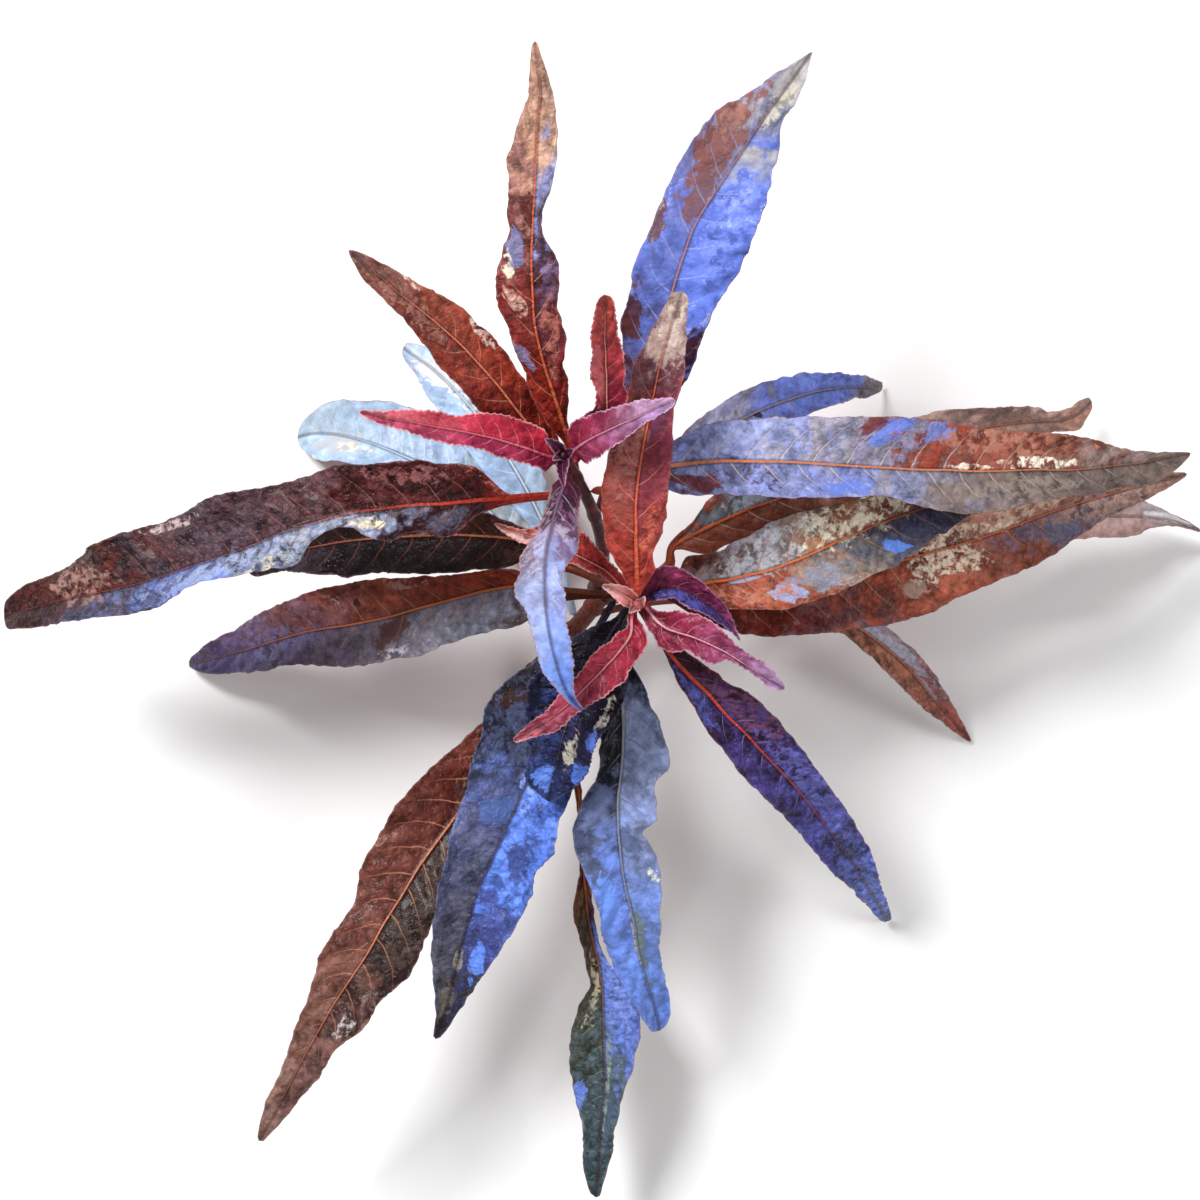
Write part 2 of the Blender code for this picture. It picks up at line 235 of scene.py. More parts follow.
# A leaf leaves its stem at a height and on a heading, and bends and sways to the side. It starts with a rise,
# ends with a dip, twists, and folds up on both sides of its midrib. All these but the height are in degrees. A
# ruffle runs along it in so many waves, from a phase on, and its stalk takes a share of its length.
Leaf = namedtuple(
    "Leaf", "name stem height heading bend sway length rise dip twist fold ruffle waves phase stalk slot")
LEAVES = [
    Leaf("young_left", TALL, 81, 163, 8, 0, 40, 32, 2, 10, 15, 0.5, 3, 0, 0.04, "young_leaf"),
    Leaf("young_right", TALL, 82, 31, -14, 0, 26, 49, 19, -15, 10, 0.3, 2, 90, 0.04, "young_leaf"),
    Leaf("young_top", TALL, 78, 64, 30, 0, 38, 50, 28, 20, 15, 0.4, 3, 0, 0.05, "young_leaf"),
    Leaf("lavender", TALL, 78, 250, 46, 0, 47, 31, -24, 25, -10, 0.8, 2, 60, 0.04, "lavender_leaf"),
    Leaf("top", TALL, 74, 103, -14, 7, 85, 43, -7, -12, 8, 1.0, 3, 40, 0.08, "copper_leaf"),
    Leaf("upper_left", TALL, 69, 130, 10, 0, 65, 40, 5, 14, 10, 0.8, 3, 0, 0.10, "red_leaf"),
    Leaf("left_long", TALL, 68, 185, 15, 0, 132, 9, -36, 18, 10, 2.2, 4, 30, 0.10, "brown_leaf"),
    Leaf("right_upper", TALL, 68, 6, -4, 3, 132, 6, -30, -10, 8, 1.6, 3, 0, 0.05, "blue_leaf"),
    Leaf("top_right", TALL, 57, 73, -17, 0, 106, 38, -20, 12, 8, 1.5, 3, 50, 0.14, "blue_leaf"),
    Leaf("right_blue", TALL, 43, 50, -42, 0, 92, 0, -61, 20, 5, 1.2, 3, 0, 0.20, "blue_leaf"),
    Leaf("red_rib", LOW, 69, 90, -16, 0, 63, 34, -1, -12, 12, 0.8, 3, 0, 0.04, "red_leaf"),
    Leaf("young_low_right", LOW, 71, 344, -28, 0, 32, 22, -8, 20, 10, 0.6, 2, 0, 0.03, "young_leaf"),
    Leaf("young_low_left", LOW, 71, 239, -24, 0, 35, 23, -17, -15, 15, 0.5, 2, 90, 0.03, "young_leaf"),
    Leaf("folded", LOW, 66, 11, -75, 0, 23, 10, -15, 10, 35, 0.5, 2, 0, 0.05, "young_leaf"),
    Leaf("small_red", LOW, 66, 137, 28, 0, 32, 11, -14, 15, 10, 0.5, 3, 0, 0.05, "red_leaf"),
    Leaf("bottom_grey", LOW, 55, 260, 30, 0, 102, 8, -42, -14, 6, 1.6, 3, 80, 0.10, "blue_leaf"),
    Leaf("bottom_right", LOW, 62, 310, 0, 0, 118, -5, -65, 16, 8, 1.2, 3, 0, 0.06, "plum_leaf"),
    Leaf("crumpled", LOW, 60, 235, 28, 0, 46, 26, -34, 25, 10, 2.5, 2, 45, 0.08, "dark_leaf"),
    Leaf("right_glossy", LOW, 55, 14, 0, 6, 74, 12, -24, -10, 8, 1.5, 3, 90, 0.10, "copper_leaf"),
    Leaf("right_long", LOW, 45, 0, 27, 0, 129, 6, -24, 12, 5, 1.5, 3, 0, 0.05, "copper_leaf"),
    Leaf("right_back", LOW, 39, 32, -20, 0, 122, 8, -40, 25, 6, 1.5, 3, 30, 0.08, "tan_leaf"),
    Leaf("right_far", LOW, 31, 17, -22, 0, 137, 4, -26, -15, 6, 1.2, 3, 0, 0.15, "tan_leaf"),
    Leaf("left_dark", LOW, 47, 153, 52, 0, 90, 7, -36, -16, 5, 1.2, 3, 0, 0.12, "dark_leaf"),
    Leaf("left_low", LOW, 41, 182, 15, 0, 111, -1, -45, 14, 6, 1.4, 3, 60, 0.10, "brown_leaf"),
    Leaf("bottom_blue", LOW, 30, 238, 20, 0, 106, 38, -25, -12, 6, 1.8, 3, 20, 0.10, "blue_leaf"),
    Leaf("right_low", MAIN, 17.5, 14, -74, 0, 104, 20, -42, 12, 5, 1.0, 3, 0, 0.15, "tan_leaf"),
    Leaf("upper_left_pale", MAIN, 15, 104, 42, 0, 82, 25, -50, -15, 5, 1.0, 3, 0, 0.15, "pale_leaf"),
    Leaf("left_pale", MAIN, 12, 110, 74, 0, 86, 20, -38, 20, 5, 1.0, 3, 0, 0.15, "pale_leaf"),
    Leaf("bottom_left", MAIN, 16, 236, 4, -4, 136, 36, -20, 10, 6, 1.5, 3, 0, 0.14, "brown_leaf"),
    Leaf("bottom", MAIN, 8, 283, -18, 5, 123, 22, -14, 30, 8, 1.6, 3, 0, 0.18, "grey_leaf"),
]

# Each leaf has its own uneven outline, where the margins and the midrib wander beside the plain line of its
# bend. A row gives a share of the leaf's length and, in millimetres there, how far the left margin lies to the
# left of that line, the right margin to its right, and the midrib to its left, as seen from the stalk.
OUTLINES = {
    "left_long": [
        (0.1, 1, 1, -0.3), (0.15, 2.5, 7.3, -0.5), (0.2, 6.3, 9, -0.6), (0.25, 4.2, 10, -1.2),
        (0.3, 5.5, 10.2, -1.4), (0.35, 1.5, 11.3, -1.6), (0.4, 2.2, 10.8, -1), (0.45, 6.8, 10.4, -0.5),
        (0.5, 6.4, 10.3, 0.7), (0.55, 6.8, 10, 1.5), (0.6, 6.6, 9.3, 2), (0.7, 8.4, 8.3, 2.5),
        (0.8, 7.8, 7, 1.8), (0.85, 6.6, 6.9, 1), (0.9, 5, 5.7, 0.5), (0.95, 3.9, 4.7, 0), (1, 2.5, 2.5, 0)],
    "right_upper": [
        (0.05, 1, 1, 0), (0.1, 6, 1.5, 2.8), (0.15, 9, 3.4, 3.1), (0.2, 10.8, 4, 2.7), (0.25, 10.3, 5.4, 1.7),
        (0.3, 10, 6.7, 0.7), (0.35, 8.9, 7.8, -0.6), (0.4, 7.9, 8.3, -1.8), (0.45, 7.3, 8.8, -2.8),
        (0.5, 6.5, 11, -3.7), (0.55, 5.7, 13, -4.2), (0.6, 4.6, 13.6, -4.7), (0.65, 3.8, 12.7, -4.7),
        (0.7, 3, 11.5, -4.5), (0.75, 2.5, 10.2, -4.5), (0.8, 1.9, 9.6, -4), (0.85, 0.9, 8, -3.2),
        (0.9, 0.4, 7.5, -2.5), (0.95, 0.2, 4.5, -1.2), (1, 0, 0.5, -0.2)],
    "top_right": [
        (0.14, 1, 1, 0), (0.2, 2.5, 2.5, 0), (0.3, 4.5, 7.5, 0), (0.35, 6.4, 8.4, 0.3), (0.4, 8.6, 7.9, 0.5),
        (0.45, 9, 7.8, 0.9), (0.5, 10.7, 8.5, 1.7), (0.55, 10.4, 9.2, 2.3), (0.6, 10.8, 8.9, 2.8),
        (0.7, 11.3, 7.5, 1.9), (0.75, 10.8, 6.2, 1.5), (0.8, 9.4, 5.2, 1.2), (0.85, 6.3, 2.7, 0.9),
        (0.9, 4.4, 2.7, 0.5), (0.95, 2.1, 1.6, 0.2), (1, 0.1, 0.1, 0)],
    "top": [
        (0.08, 1, 1, 0), (0.15, 3, 0.9, 0.2), (0.2, 4, 2.5, 0.3), (0.25, 4.8, 3, 0.4), (0.3, 4.6, 3.4, 0.5),
        (0.35, 5.2, 4.9, 0.4), (0.4, 5.3, 5.2, 0.2), (0.45, 6.2, 5.2, -0.4), (0.5, 5.9, 6.1, -0.9),
        (0.55, 4.4, 6.1, -1.3), (0.6, 2.9, 4, -1.8), (0.65, 2.8, 4.1, -2.1), (0.7, 2.5, 5.7, -2.3),
        (0.75, 2.9, 6.1, -2.3), (0.8, 2.2, 6.2, -2.2), (0.85, 1.5, 5.4, -2), (0.9, 0.4, 4.7, -2.2),
        (0.95, 0.4, 3.1, -1.4), (1.02, 0, 0.9, -0.5)],
    "upper_left": [
        (0.1, 1, 1, 0), (0.2, 3, 3.3, 0), (0.25, 3.8, 4.5, 0), (0.35, 4.8, 5, -0.3), (0.45, 5.5, 5.5, -0.8),
        (0.5, 5.3, 6.4, -0.9), (0.55, 5.1, 6.7, -1), (0.6, 5.1, 6.5, -1.1), (0.7, 4.2, 6, -0.8),
        (0.8, 3.4, 4.1, -0.3), (0.85, 3.2, 3.8, 0), (0.9, 2.9, 3, 0), (0.95, 2.6, 2, 0.2), (1, 1.4, 1.1, 0.2),
        (1.035, 0.4, 0.2, 0.1)],
    "left_low": [
        (0.1, 1, 1, -1.5), (0.15, 4, 4.5, -2.7), (0.2, 5.8, 7, -3), (0.25, 6.2, 7, -2.6), (0.3, 7, 6.8, -1.8),
        (0.35, 8.2, 7.1, -1), (0.4, 10.1, 7.5, -0.3), (0.45, 10, 8.2, 0.5), (0.5, 10.3, 8.5, 0.8),
        (0.55, 10.2, 8.2, 0.9), (0.6, 9.2, 8.1, 0.7), (0.65, 8.1, 7.2, 0.6), (0.7, 7.3, 6.6, 0.9),
        (0.75, 7.6, 6, 1.2), (0.8, 7, 5.1, 1.5), (0.85, 6.1, 3.7, 1.5), (0.9, 5.4, 2.5, 1.5),
        (0.95, 4.1, 1.4, 1.3), (1, 1.5, 0.3, 0.5)],
    "bottom_left": [
        (0.15, 1, 1, 0), (0.2, 3.5, 4, 0.3), (0.25, 5.5, 5.5, 0.5), (0.3, 7, 6.8, 1), (0.35, 8, 8.2, 1.6),
        (0.4, 8.5, 8.9, 2.1), (0.45, 9, 9.4, 2), (0.5, 9.5, 8.8, 1.8), (0.55, 10.5, 8.5, 2),
        (0.6, 11.5, 6, 1.8), (0.65, 11.8, 6.6, 1.9), (0.7, 9.3, 6.5, 1.3), (0.75, 9, 4.9, 0.6),
        (0.8, 5.8, 4.6, 0.3), (0.85, 5.3, 4, 0), (0.9, 3.6, 3.2, 0), (0.95, 2.4, 2.7, 0),
        (1.01, 0.6, 0.7, -0.2)],
    "bottom_blue": [
        (0.1, 1, 1, 0), (0.15, 4, 6, 0), (0.2, 6, 8, 0), (0.25, 7.7, 11, 0.5), (0.3, 9, 12.6, 1),
        (0.35, 10, 13, 1.2), (0.4, 10.5, 11.5, 1.5), (0.45, 11, 11.3, 1.5), (0.5, 11, 9.8, 1.5),
        (0.55, 12.5, 9.5, 1.2), (0.6, 11, 9.3, 1), (0.65, 11.5, 8.5, 0.5), (0.7, 10.6, 8, 0.3),
        (0.8, 7.8, 5.7, 0.5), (0.85, 6.6, 4.2, 0.7), (0.9, 5.6, 2.4, 0.9), (0.95, 3.5, 1.1, 0.7),
        (1.01, 0.8, 0.4, 0.2)],
    "bottom_grey": [
        (0.1, 1, 1, 0.5), (0.15, 4.6, 2.5, 1), (0.2, 7.1, 3, 1.3), (0.25, 9.7, 3, 1.8), (0.3, 11.6, 3, 1.9),
        (0.325, 11.6, 3, 1.8), (0.35, 8.9, 3.5, 1.6), (0.4, 9, 6.3, 1), (0.45, 8, 8.5, 0.9),
        (0.475, 5.8, 8.6, 0.9), (0.5, 7.3, 8.4, 1), (0.55, 8.9, 6.9, 1.1), (0.6, 9.1, 5.4, 1.4),
        (0.65, 8.2, 5.6, 1.9), (0.7, 7.1, 5.1, 2), (0.75, 6.3, 4.4, 1.8), (0.8, 6.5, 3.7, 2),
        (0.85, 6.5, 2.7, 2), (0.9, 6.2, 1.8, 2.2), (0.95, 5, 1, 2), (1, 2.5, 0.3, 1.5)],
    "bottom": [
        (0.2, -0.6, 2.4, -1.5), (0.3, -2.1, 3.9, -3), (0.35, -3.1, 4.9, -4), (0.4, -3.9, 6, -4.8),
        (0.45, -3.7, 7.9, -5.2), (0.5, -3, 7.8, -5), (0.55, -1.8, 7.3, -4), (0.6, 2.2, 6.6, -3.2),
        (0.65, 5.4, 9.1, -2.9), (0.7, 5.8, 9.8, -2.5), (0.75, 5.2, 9.6, -1.9), (0.8, 3.9, 8.7, -1.6),
        (0.85, 2.8, 7.4, -1.4), (0.9, 1.8, 5.8, -1.2), (0.95, 1, 4, -1), (1, 0.2, 2, -0.8)],
    "bottom_right": [
        (0.05, 1, 1, -0.8), (0.1, 1.2, 2.5, -1.5), (0.15, 2.6, 4.2, -1.3), (0.2, 4, 4.9, -0.7),
        (0.25, 6.1, 5.9, -0.6), (0.3, 6.8, 5.9, 0), (0.35, 7.2, 6.1, 0.2), (0.45, 6.9, 5.4, 0.9),
        (0.55, 6.5, 5, 0.7), (0.65, 5.4, 4.7, 0.3), (0.7, 4.7, 4.4, 0.2), (0.75, 3.4, 4.1, -0.3),
        (0.8, 2.2, 4, -0.8), (0.85, 1.3, 4.2, -1.2), (0.9, 0.6, 3.7, -1.5), (0.95, -0.2, 3.3, -1.8),
        (1, -1.2, 2.8, -2)],
    "right_long": [
        (0.05, 1, 1, 0), (0.1, 4.4, 5, 0.5), (0.15, 6.7, 8, 1), (0.2, 8, 9.7, 1.3), (0.25, 8.9, 10, 1.6),
        (0.35, 9.9, 10.2, 2.1), (0.45, 9.5, 10.1, 2.4), (0.5, 9.5, 9, 2.9), (0.55, 9.5, 7.5, 3.1),
        (0.6, 9.5, 6.5, 3.4), (0.65, 9.3, 5.5, 3.7), (0.7, 9, 4.4, 4.1), (0.75, 8.4, 2.9, 4.1),
        (0.8, 7.5, 2.2, 3.8), (0.85, 6.5, 1.6, 3.2), (0.9, 5.5, 1.2, 2.4), (0.95, 3, 0.8, 1.3),
        (1, 0.5, 0.3, 0)],
    "right_glossy": [
        (0.1, 1, 1, -0.8), (0.15, 5, 4, -1.1), (0.2, 4.7, 6.5, -1.4), (0.25, 4.2, 8.5, -2.2),
        (0.3, 5, 10, -2.6), (0.35, 5.2, 11.4, -3.1), (0.4, 5.7, 12.3, -3.2), (0.5, 6.5, 12, -2.6),
        (0.55, 6.6, 11.8, -1.9), (0.6, 6.4, 10.8, -1.1), (0.65, 6.3, 10, -0.5), (0.7, 6.4, 9.2, 0.5),
        (0.75, 6.5, 7.3, 1.2), (0.8, 6, 5.8, 1.9), (0.85, 5.5, 4, 2.5), (0.9, 4, 3.5, 2.2),
        (0.95, 2.5, 1.9, 1.2), (1, 0.3, 0.3, 0)],
    "red_rib": [
        (0.05, 2.2, 2.5, 0), (0.1, 3.2, 3.6, 0.1), (0.15, 4.9, 3.1, 0.25), (0.2, 6.6, 4.1, 0.5),
        (0.25, 7.1, 4.8, 0.6), (0.3, 7.7, 5.4, 0.9), (0.35, 8, 5.4, 1), (0.4, 7.8, 5.2, 1),
        (0.5, 7, 5.3, 0.8), (0.6, 6.2, 4.5, 0.5), (0.65, 5.5, 4.5, 0.4), (0.75, 5.2, 5, 0.3),
        (0.8, 4.2, 4.7, 0.2), (0.85, 3.6, 3.8, 0), (0.9, 2.7, 3.3, -0.2), (0.95, 2, 2.7, -0.5),
        (1, 1.4, 2.2, -0.6)],
    "right_blue": [
        (0.2, 1, 1, 0), (0.25, 1.5, 1.5, 0), (0.3, 5.1, 3, 1), (0.4, 5.6, 4.8, 0.5), (0.45, 5.8, 5.4, 0.3),
        (0.5, 5.5, 5.8, 0), (0.55, 5.1, 6, -0.4), (0.6, 4.1, 5.9, -0.8), (0.65, 3.7, 5.7, -1.1),
        (0.7, 2.5, 5.4, -1.5), (0.75, 1.7, 5.5, -2), (0.8, 0.6, 5.6, -2.4), (0.85, -0.1, 5.8, -2.8),
        (0.9, -0.6, 5.9, -3.3), (0.95, -1.6, 5, -3.3), (1, -2.4, 3.8, -3.1)],
    "right_back": [
        (0.08, 1, 1, 0.6), (0.1, 4.1, -2.3, 3.2), (0.15, 5.8, 1.8, 3.3), (0.2, 8.5, 2.5, 2.9),
        (0.25, 9, 4, 2.4), (0.3, 8.5, 5, 1.5), (0.4, 7.5, 6, 0.8), (0.5, 7, 6.7, 0.3), (0.6, 5.7, 6.8, 0),
        (0.65, 5.4, 7, -0.4), (0.7, 4.1, 7, -0.8), (0.75, 3.1, 6.8, -1.5), (0.8, 1.7, 6.8, -2.3),
        (0.85, 0, 6.9, -3.2), (0.88, -1.9, 7, -3.8), (0.9, -2.2, 6.9, -4.2), (0.93, -1.9, 7.1, -4.2),
        (0.95, -1.7, 7.1, -4), (0.97, -0.7, 5.6, -3.3), (1.01, -0.2, 2.6, -1.4)],
    "lavender": [
        (0.05, 3.9, 1.9, 0.3), (0.1, 4.5, 1.8, 0.3), (0.2, 5.1, 2.1, 0.3), (0.25, 5.8, 2.4, 0.3),
        (0.3, 6.1, 2.8, 0.2), (0.35, 5.7, 4.3, 0), (0.4, 4.6, 5.4, 0), (0.45, 3.5, 5, 0),
        (0.475, 3.2, 5.6, 0), (0.5, 3.4, 6.2, 0), (0.55, 4.2, 6.2, 0), (0.6, 4.1, 4.6, 0), (0.7, 3.7, 4.1, 0),
        (0.75, 3.8, 3.9, 0), (0.8, 3.4, 3.9, 0), (0.85, 3.1, 3.6, 0), (0.9, 2.4, 2.6, 0),
        (0.95, 1.8, 1.5, 0.1), (1, 1.4, 0.6, 0.4), (1.07, 1.7, -0.8, 1.2)],
    "young_left": [
        (0.05, 3.4, 2, 0.2), (0.1, 3.2, 3.4, 0.3), (0.15, 3.5, 4.6, 0.2), (0.25, 3.5, 4.8, 0.2),
        (0.35, 3.7, 4.7, 0.2), (0.4, 3.4, 4.3, 0.3), (0.45, 3.4, 4, 0.4), (0.5, 3.5, 3.3, 0.5),
        (0.55, 3.8, 2.3, 0.6), (0.65, 3.8, 2.1, 0.9), (0.75, 3.5, 1.6, 1), (0.8, 3.3, 1.3, 1.1),
        (0.85, 3.1, 0.8, 1.2), (0.9, 2.8, 0.3, 1.2), (0.95, 2.3, -0.1, 1), (1.02, 1.6, -0.4, 0.8)],
    "young_right": [
        (0.05, 2, 2.6, 0), (0.1, 3.5, 3.8, 0), (0.15, 4.3, 3.8, 0), (0.2, 4.7, 3.8, 0), (0.3, 4.2, 4.4, -0.1),
        (0.4, 3.9, 4.1, -0.3), (0.5, 3.2, 3.8, -0.4), (0.6, 2.9, 3.4, -0.5), (0.7, 2.6, 2.7, -0.6),
        (0.8, 2.2, 2.2, -0.4), (0.85, 1.6, 2.3, -0.4), (0.9, 1.3, 2.1, -0.3), (0.95, 1, 1.9, -0.3),
        (1.03, 0.4, 1, -0.3)],
    "young_top": [
        (0.05, 2, 2, 0), (0.15, 2.4, 2.6, -0.4), (0.25, 2.2, 3.8, -1.4), (0.3, 1.6, 4.6, -2),
        (0.35, 1, 5.4, -2.4), (0.4, 0.7, 6, -2.5), (0.45, 0.4, 6.2, -2.1), (0.5, 0.6, 5.8, -1.7),
        (0.55, 1.2, 4.9, -1.4), (0.6, 2.3, 4.8, -1.1), (0.65, 2.6, 4.3, -0.7), (0.7, 2.6, 3.9, -0.5),
        (0.8, 3.1, 2.9, 0), (0.85, 3.1, 2.5, 0), (0.9, 2.6, 2.2, 0), (0.95, 2.3, 2, 0), (1.03, 1.6, 1.5, 0)],
    "young_low_left": [
        (0.05, 2, 0.2, 0.5), (0.1, 4.2, -0.3, 1.5), (0.15, 6, 0.5, 2), (0.25, 6, 1, 1.9),
        (0.3, 6.1, 1.8, 1.8), (0.35, 6.6, 2.2, 1.6), (0.4, 5.9, 2.4, 1.5), (0.5, 5.1, 1.9, 1.2),
        (0.6, 4, 2.2, 1.1), (0.7, 3.6, 1.6, 0.9), (0.8, 3.6, 1.2, 0.6), (0.85, 2.9, 1.5, 0.3),
        (0.9, 2, 1.6, 0), (0.95, 1.2, 1.4, 0), (1.04, 0.3, 0.8, -0.2)],
    "young_low_right": [
        (0.05, 0.2, 2.7, -1), (0.1, 0.3, 4.4, -2), (0.15, 0.6, 5.5, -2.6), (0.2, 1.2, 7, -2.9),
        (0.3, 1.8, 6.7, -2.7), (0.35, 2.2, 5.6, -2.5), (0.45, 2.2, 5.7, -2.3), (0.55, 1.5, 5.5, -2.1),
        (0.6, 0.9, 4.4, -2), (0.65, 0.6, 3.2, -2), (0.75, 0.5, 2.9, -1.9), (0.85, 0.8, 2.8, -1.6),
        (0.9, 0.7, 2.7, -1.3), (0.95, 0.5, 2.5, -1.1), (1.04, -0.1, 1.5, -0.8)],
    "folded": [
        (0.08, 5, 1, 1.5), (0.2, 7.5, 0.8, 2), (0.28, 7.3, 0.6, 2), (0.36, 6.2, 1.4, 1.7),
        (0.45, 5.3, 2, 1.3), (0.55, 4, 1.8, 0.9), (0.65, 3.6, 1.6, 0.6), (0.72, 2.6, 1.5, 0.4),
        (0.8, 1.8, 1.2, 0.2), (0.9, 0.8, 0.6, 0), (1, 0.2, 0.2, 0)],
    "small_red": [
        (0.05, 0.8, 1.6, 0), (0.15, 0.8, 2.4, -0.5), (0.23, 0.8, 2.7, -0.6), (0.3, 1.6, 3.2, -0.3),
        (0.375, 1.9, 3.8, 0), (0.43, 2.3, 4.4, 0.2), (0.52, 3, 4, 0.5), (0.6, 3.3, 3.3, 0.8),
        (0.67, 3.2, 2.3, 1), (0.73, 3, 0.8, 1.2), (0.785, 3.4, -0.2, 1.6), (0.84, 3.1, -0.5, 1.7),
        (0.93, 2.4, -0.9, 1.6), (1, 1.4, -1, 1.2)],
    "crumpled": [
        (0.1, 1.3, 1.3, 0), (0.2, 5, 5, 0), (0.3, 7.4, 7.4, 0), (0.4, 8.8, 8.2, 0.3), (0.5, 9.4, 9.8, 0.3),
        (0.6, 8.4, 9.2, 0), (0.7, 7.6, 8.8, 0), (0.8, 6.6, 6.4, 0.3), (0.9, 4.5, 4.8, 0), (1, 0.6, 0.5, 0)],
    "left_dark": [
        (0.12, 1, 1, 0), (0.2, 2, 4, -1), (0.25, 3, 5, -2), (0.3, 5, 5.5, -1.8), (0.35, 6, 6.5, -1.2),
        (0.4, 7.2, 7, -0.7), (0.5, 8.3, 7, 0.3), (0.6, 8.4, 6.5, 0.7), (0.7, 8.4, 6, 0.7),
        (0.75, 7.2, 5.5, 0.7), (0.8, 6, 5, 0.5), (0.85, 5, 4, 0.4), (0.9, 4.1, 2.8, 0.3),
        (0.95, 3.4, 1.5, 0.3), (1, 2.5, 0.4, 0.3)],
    "left_pale": [
        (0.15, 1, 1, 0), (0.25, 3.5, 5.5, 0), (0.35, 6, 9.5, 0), (0.45, 7, 9, 0), (0.55, 7.3, 9.3, 0.5),
        (0.65, 7.5, 9.8, 1), (0.75, 7.4, 9.6, 0.8), (0.85, 7.6, 8.7, 0.4), (0.9, 7.2, 8, 0.4),
        (0.95, 5.6, 4.5, 0.6), (1, 3.2, 1, 1.2)],
    "upper_left_pale": [
        (0.15, 1, 1, 0), (0.2, 1.3, 1.3, 0), (0.3, 3.5, 3.5, 0), (0.4, 5.3, 5.3, 0), (0.5, 6.4, 6.6, 0),
        (0.6, 6.8, 7, 0), (0.7, 6.4, 6.7, 0), (0.8, 5, 5.4, 0), (0.85, 4.2, 4.4, 0), (0.9, 3.7, 3.2, 0.2),
        (0.95, 3, 2.2, 0.3), (1, 1.2, 1, 0.2)],
    "right_low": [
        (0.15, 1, 1, 0), (0.2, 1.4, 1.2, 0.1), (0.3, 3.4, 2, 0.5), (0.4, 5, 2, 1.2), (0.5, 5.5, 1.5, 1.5),
        (0.55, 5.5, 1.4, 1.5), (0.6, 5, 2.4, 1.2), (0.65, 4.3, 3.3, 0.5), (0.7, 3.9, 4.1, 0),
        (0.75, 3.1, 4.6, -0.6), (0.8, 2.1, 4.9, -1.3), (0.85, 1.3, 4.6, -1.5), (0.9, 0.7, 3.5, -1.3),
        (0.95, 0.4, 2.1, -0.8), (1, 0.1, 0.4, -0.1)],
    "right_far": [
        (0.15, 1, 1, 0), (0.2, 1.4, 1.4, 0), (0.3, 3, 3, 0), (0.4, 4.6, 4.6, 0), (0.5, 6, 6, 0),
        (0.6, 6.6, 6.4, 0), (0.7, 6.8, 6.3, 0), (0.75, 6.6, 5.4, 0.3), (0.8, 6, 4.9, 0.4),
        (0.85, 5.2, 4.4, 0.4), (0.88, 4.6, 3.6, 0.5), (0.9, 4.1, 2.2, 0.5), (0.95, 1.8, 1.3, 0),
        (0.975, 0.6, 1.6, -0.7), (1.01, -1.4, 2.2, -1.8)],
}


def share_at(stem, height):
    """How far along the stem a height lies, found by halving."""
    low, high = 0, 1
    for _ in range(30):
        middle = (low + high) / 2
        low, high = (middle, high) if stem_point(stem, middle).z < height else (low, middle)
    return low


def leaf_base(leaf):
    """Where the leaf's stalk leaves its stem, and the way out from the stem there."""
    stem = next(s for s in STEMS if s.name == leaf.stem)
    share = share_at(stem, leaf.height)
    heading = math.radians(leaf.heading)
    along = (stem_point(stem, share + 0.01) - stem_point(stem, share)).normalized()
    out = Vector((math.cos(heading), math.sin(heading), 0))
    out = (out - along * out.dot(along)).normalized()
    sideways = abs(out.y * math.cos(heading) - out.x * math.sin(heading))
    stalk = STALK_THICK * max(0, out.z) + STALK_WIDE / 2 * sideways
    clear = stem_radius(stem, share) * NODE_SWELL + GAP + stalk
    return stem_point(stem, share) + out * clear, out


def between(rows, share, column):
    """A measure at a share of the length, on a smooth curve through the rows."""
    share = min(max(share, rows[0][0]), rows[-1][0])
    i = next(i for i in range(1, len(rows)) if rows[i][0] >= share)
    start, end = rows[i - 1], rows[i]
    before, after = rows[max(i - 2, 0)], rows[min(i + 1, len(rows) - 1)]
    span = end[0] - start[0]
    slope_in = (end[column] - before[column]) / (end[0] - before[0]) * span
    slope_out = (after[column] - start[column]) / (after[0] - start[0]) * span
    t = (share - start[0]) / span
    return ((2 * t**3 - 3 * t**2 + 1) * start[column] + (t**3 - 2 * t**2 + t) * slope_in
            + (3 * t**2 - 2 * t**3) * end[column] + (t**3 - t**2) * slope_out)


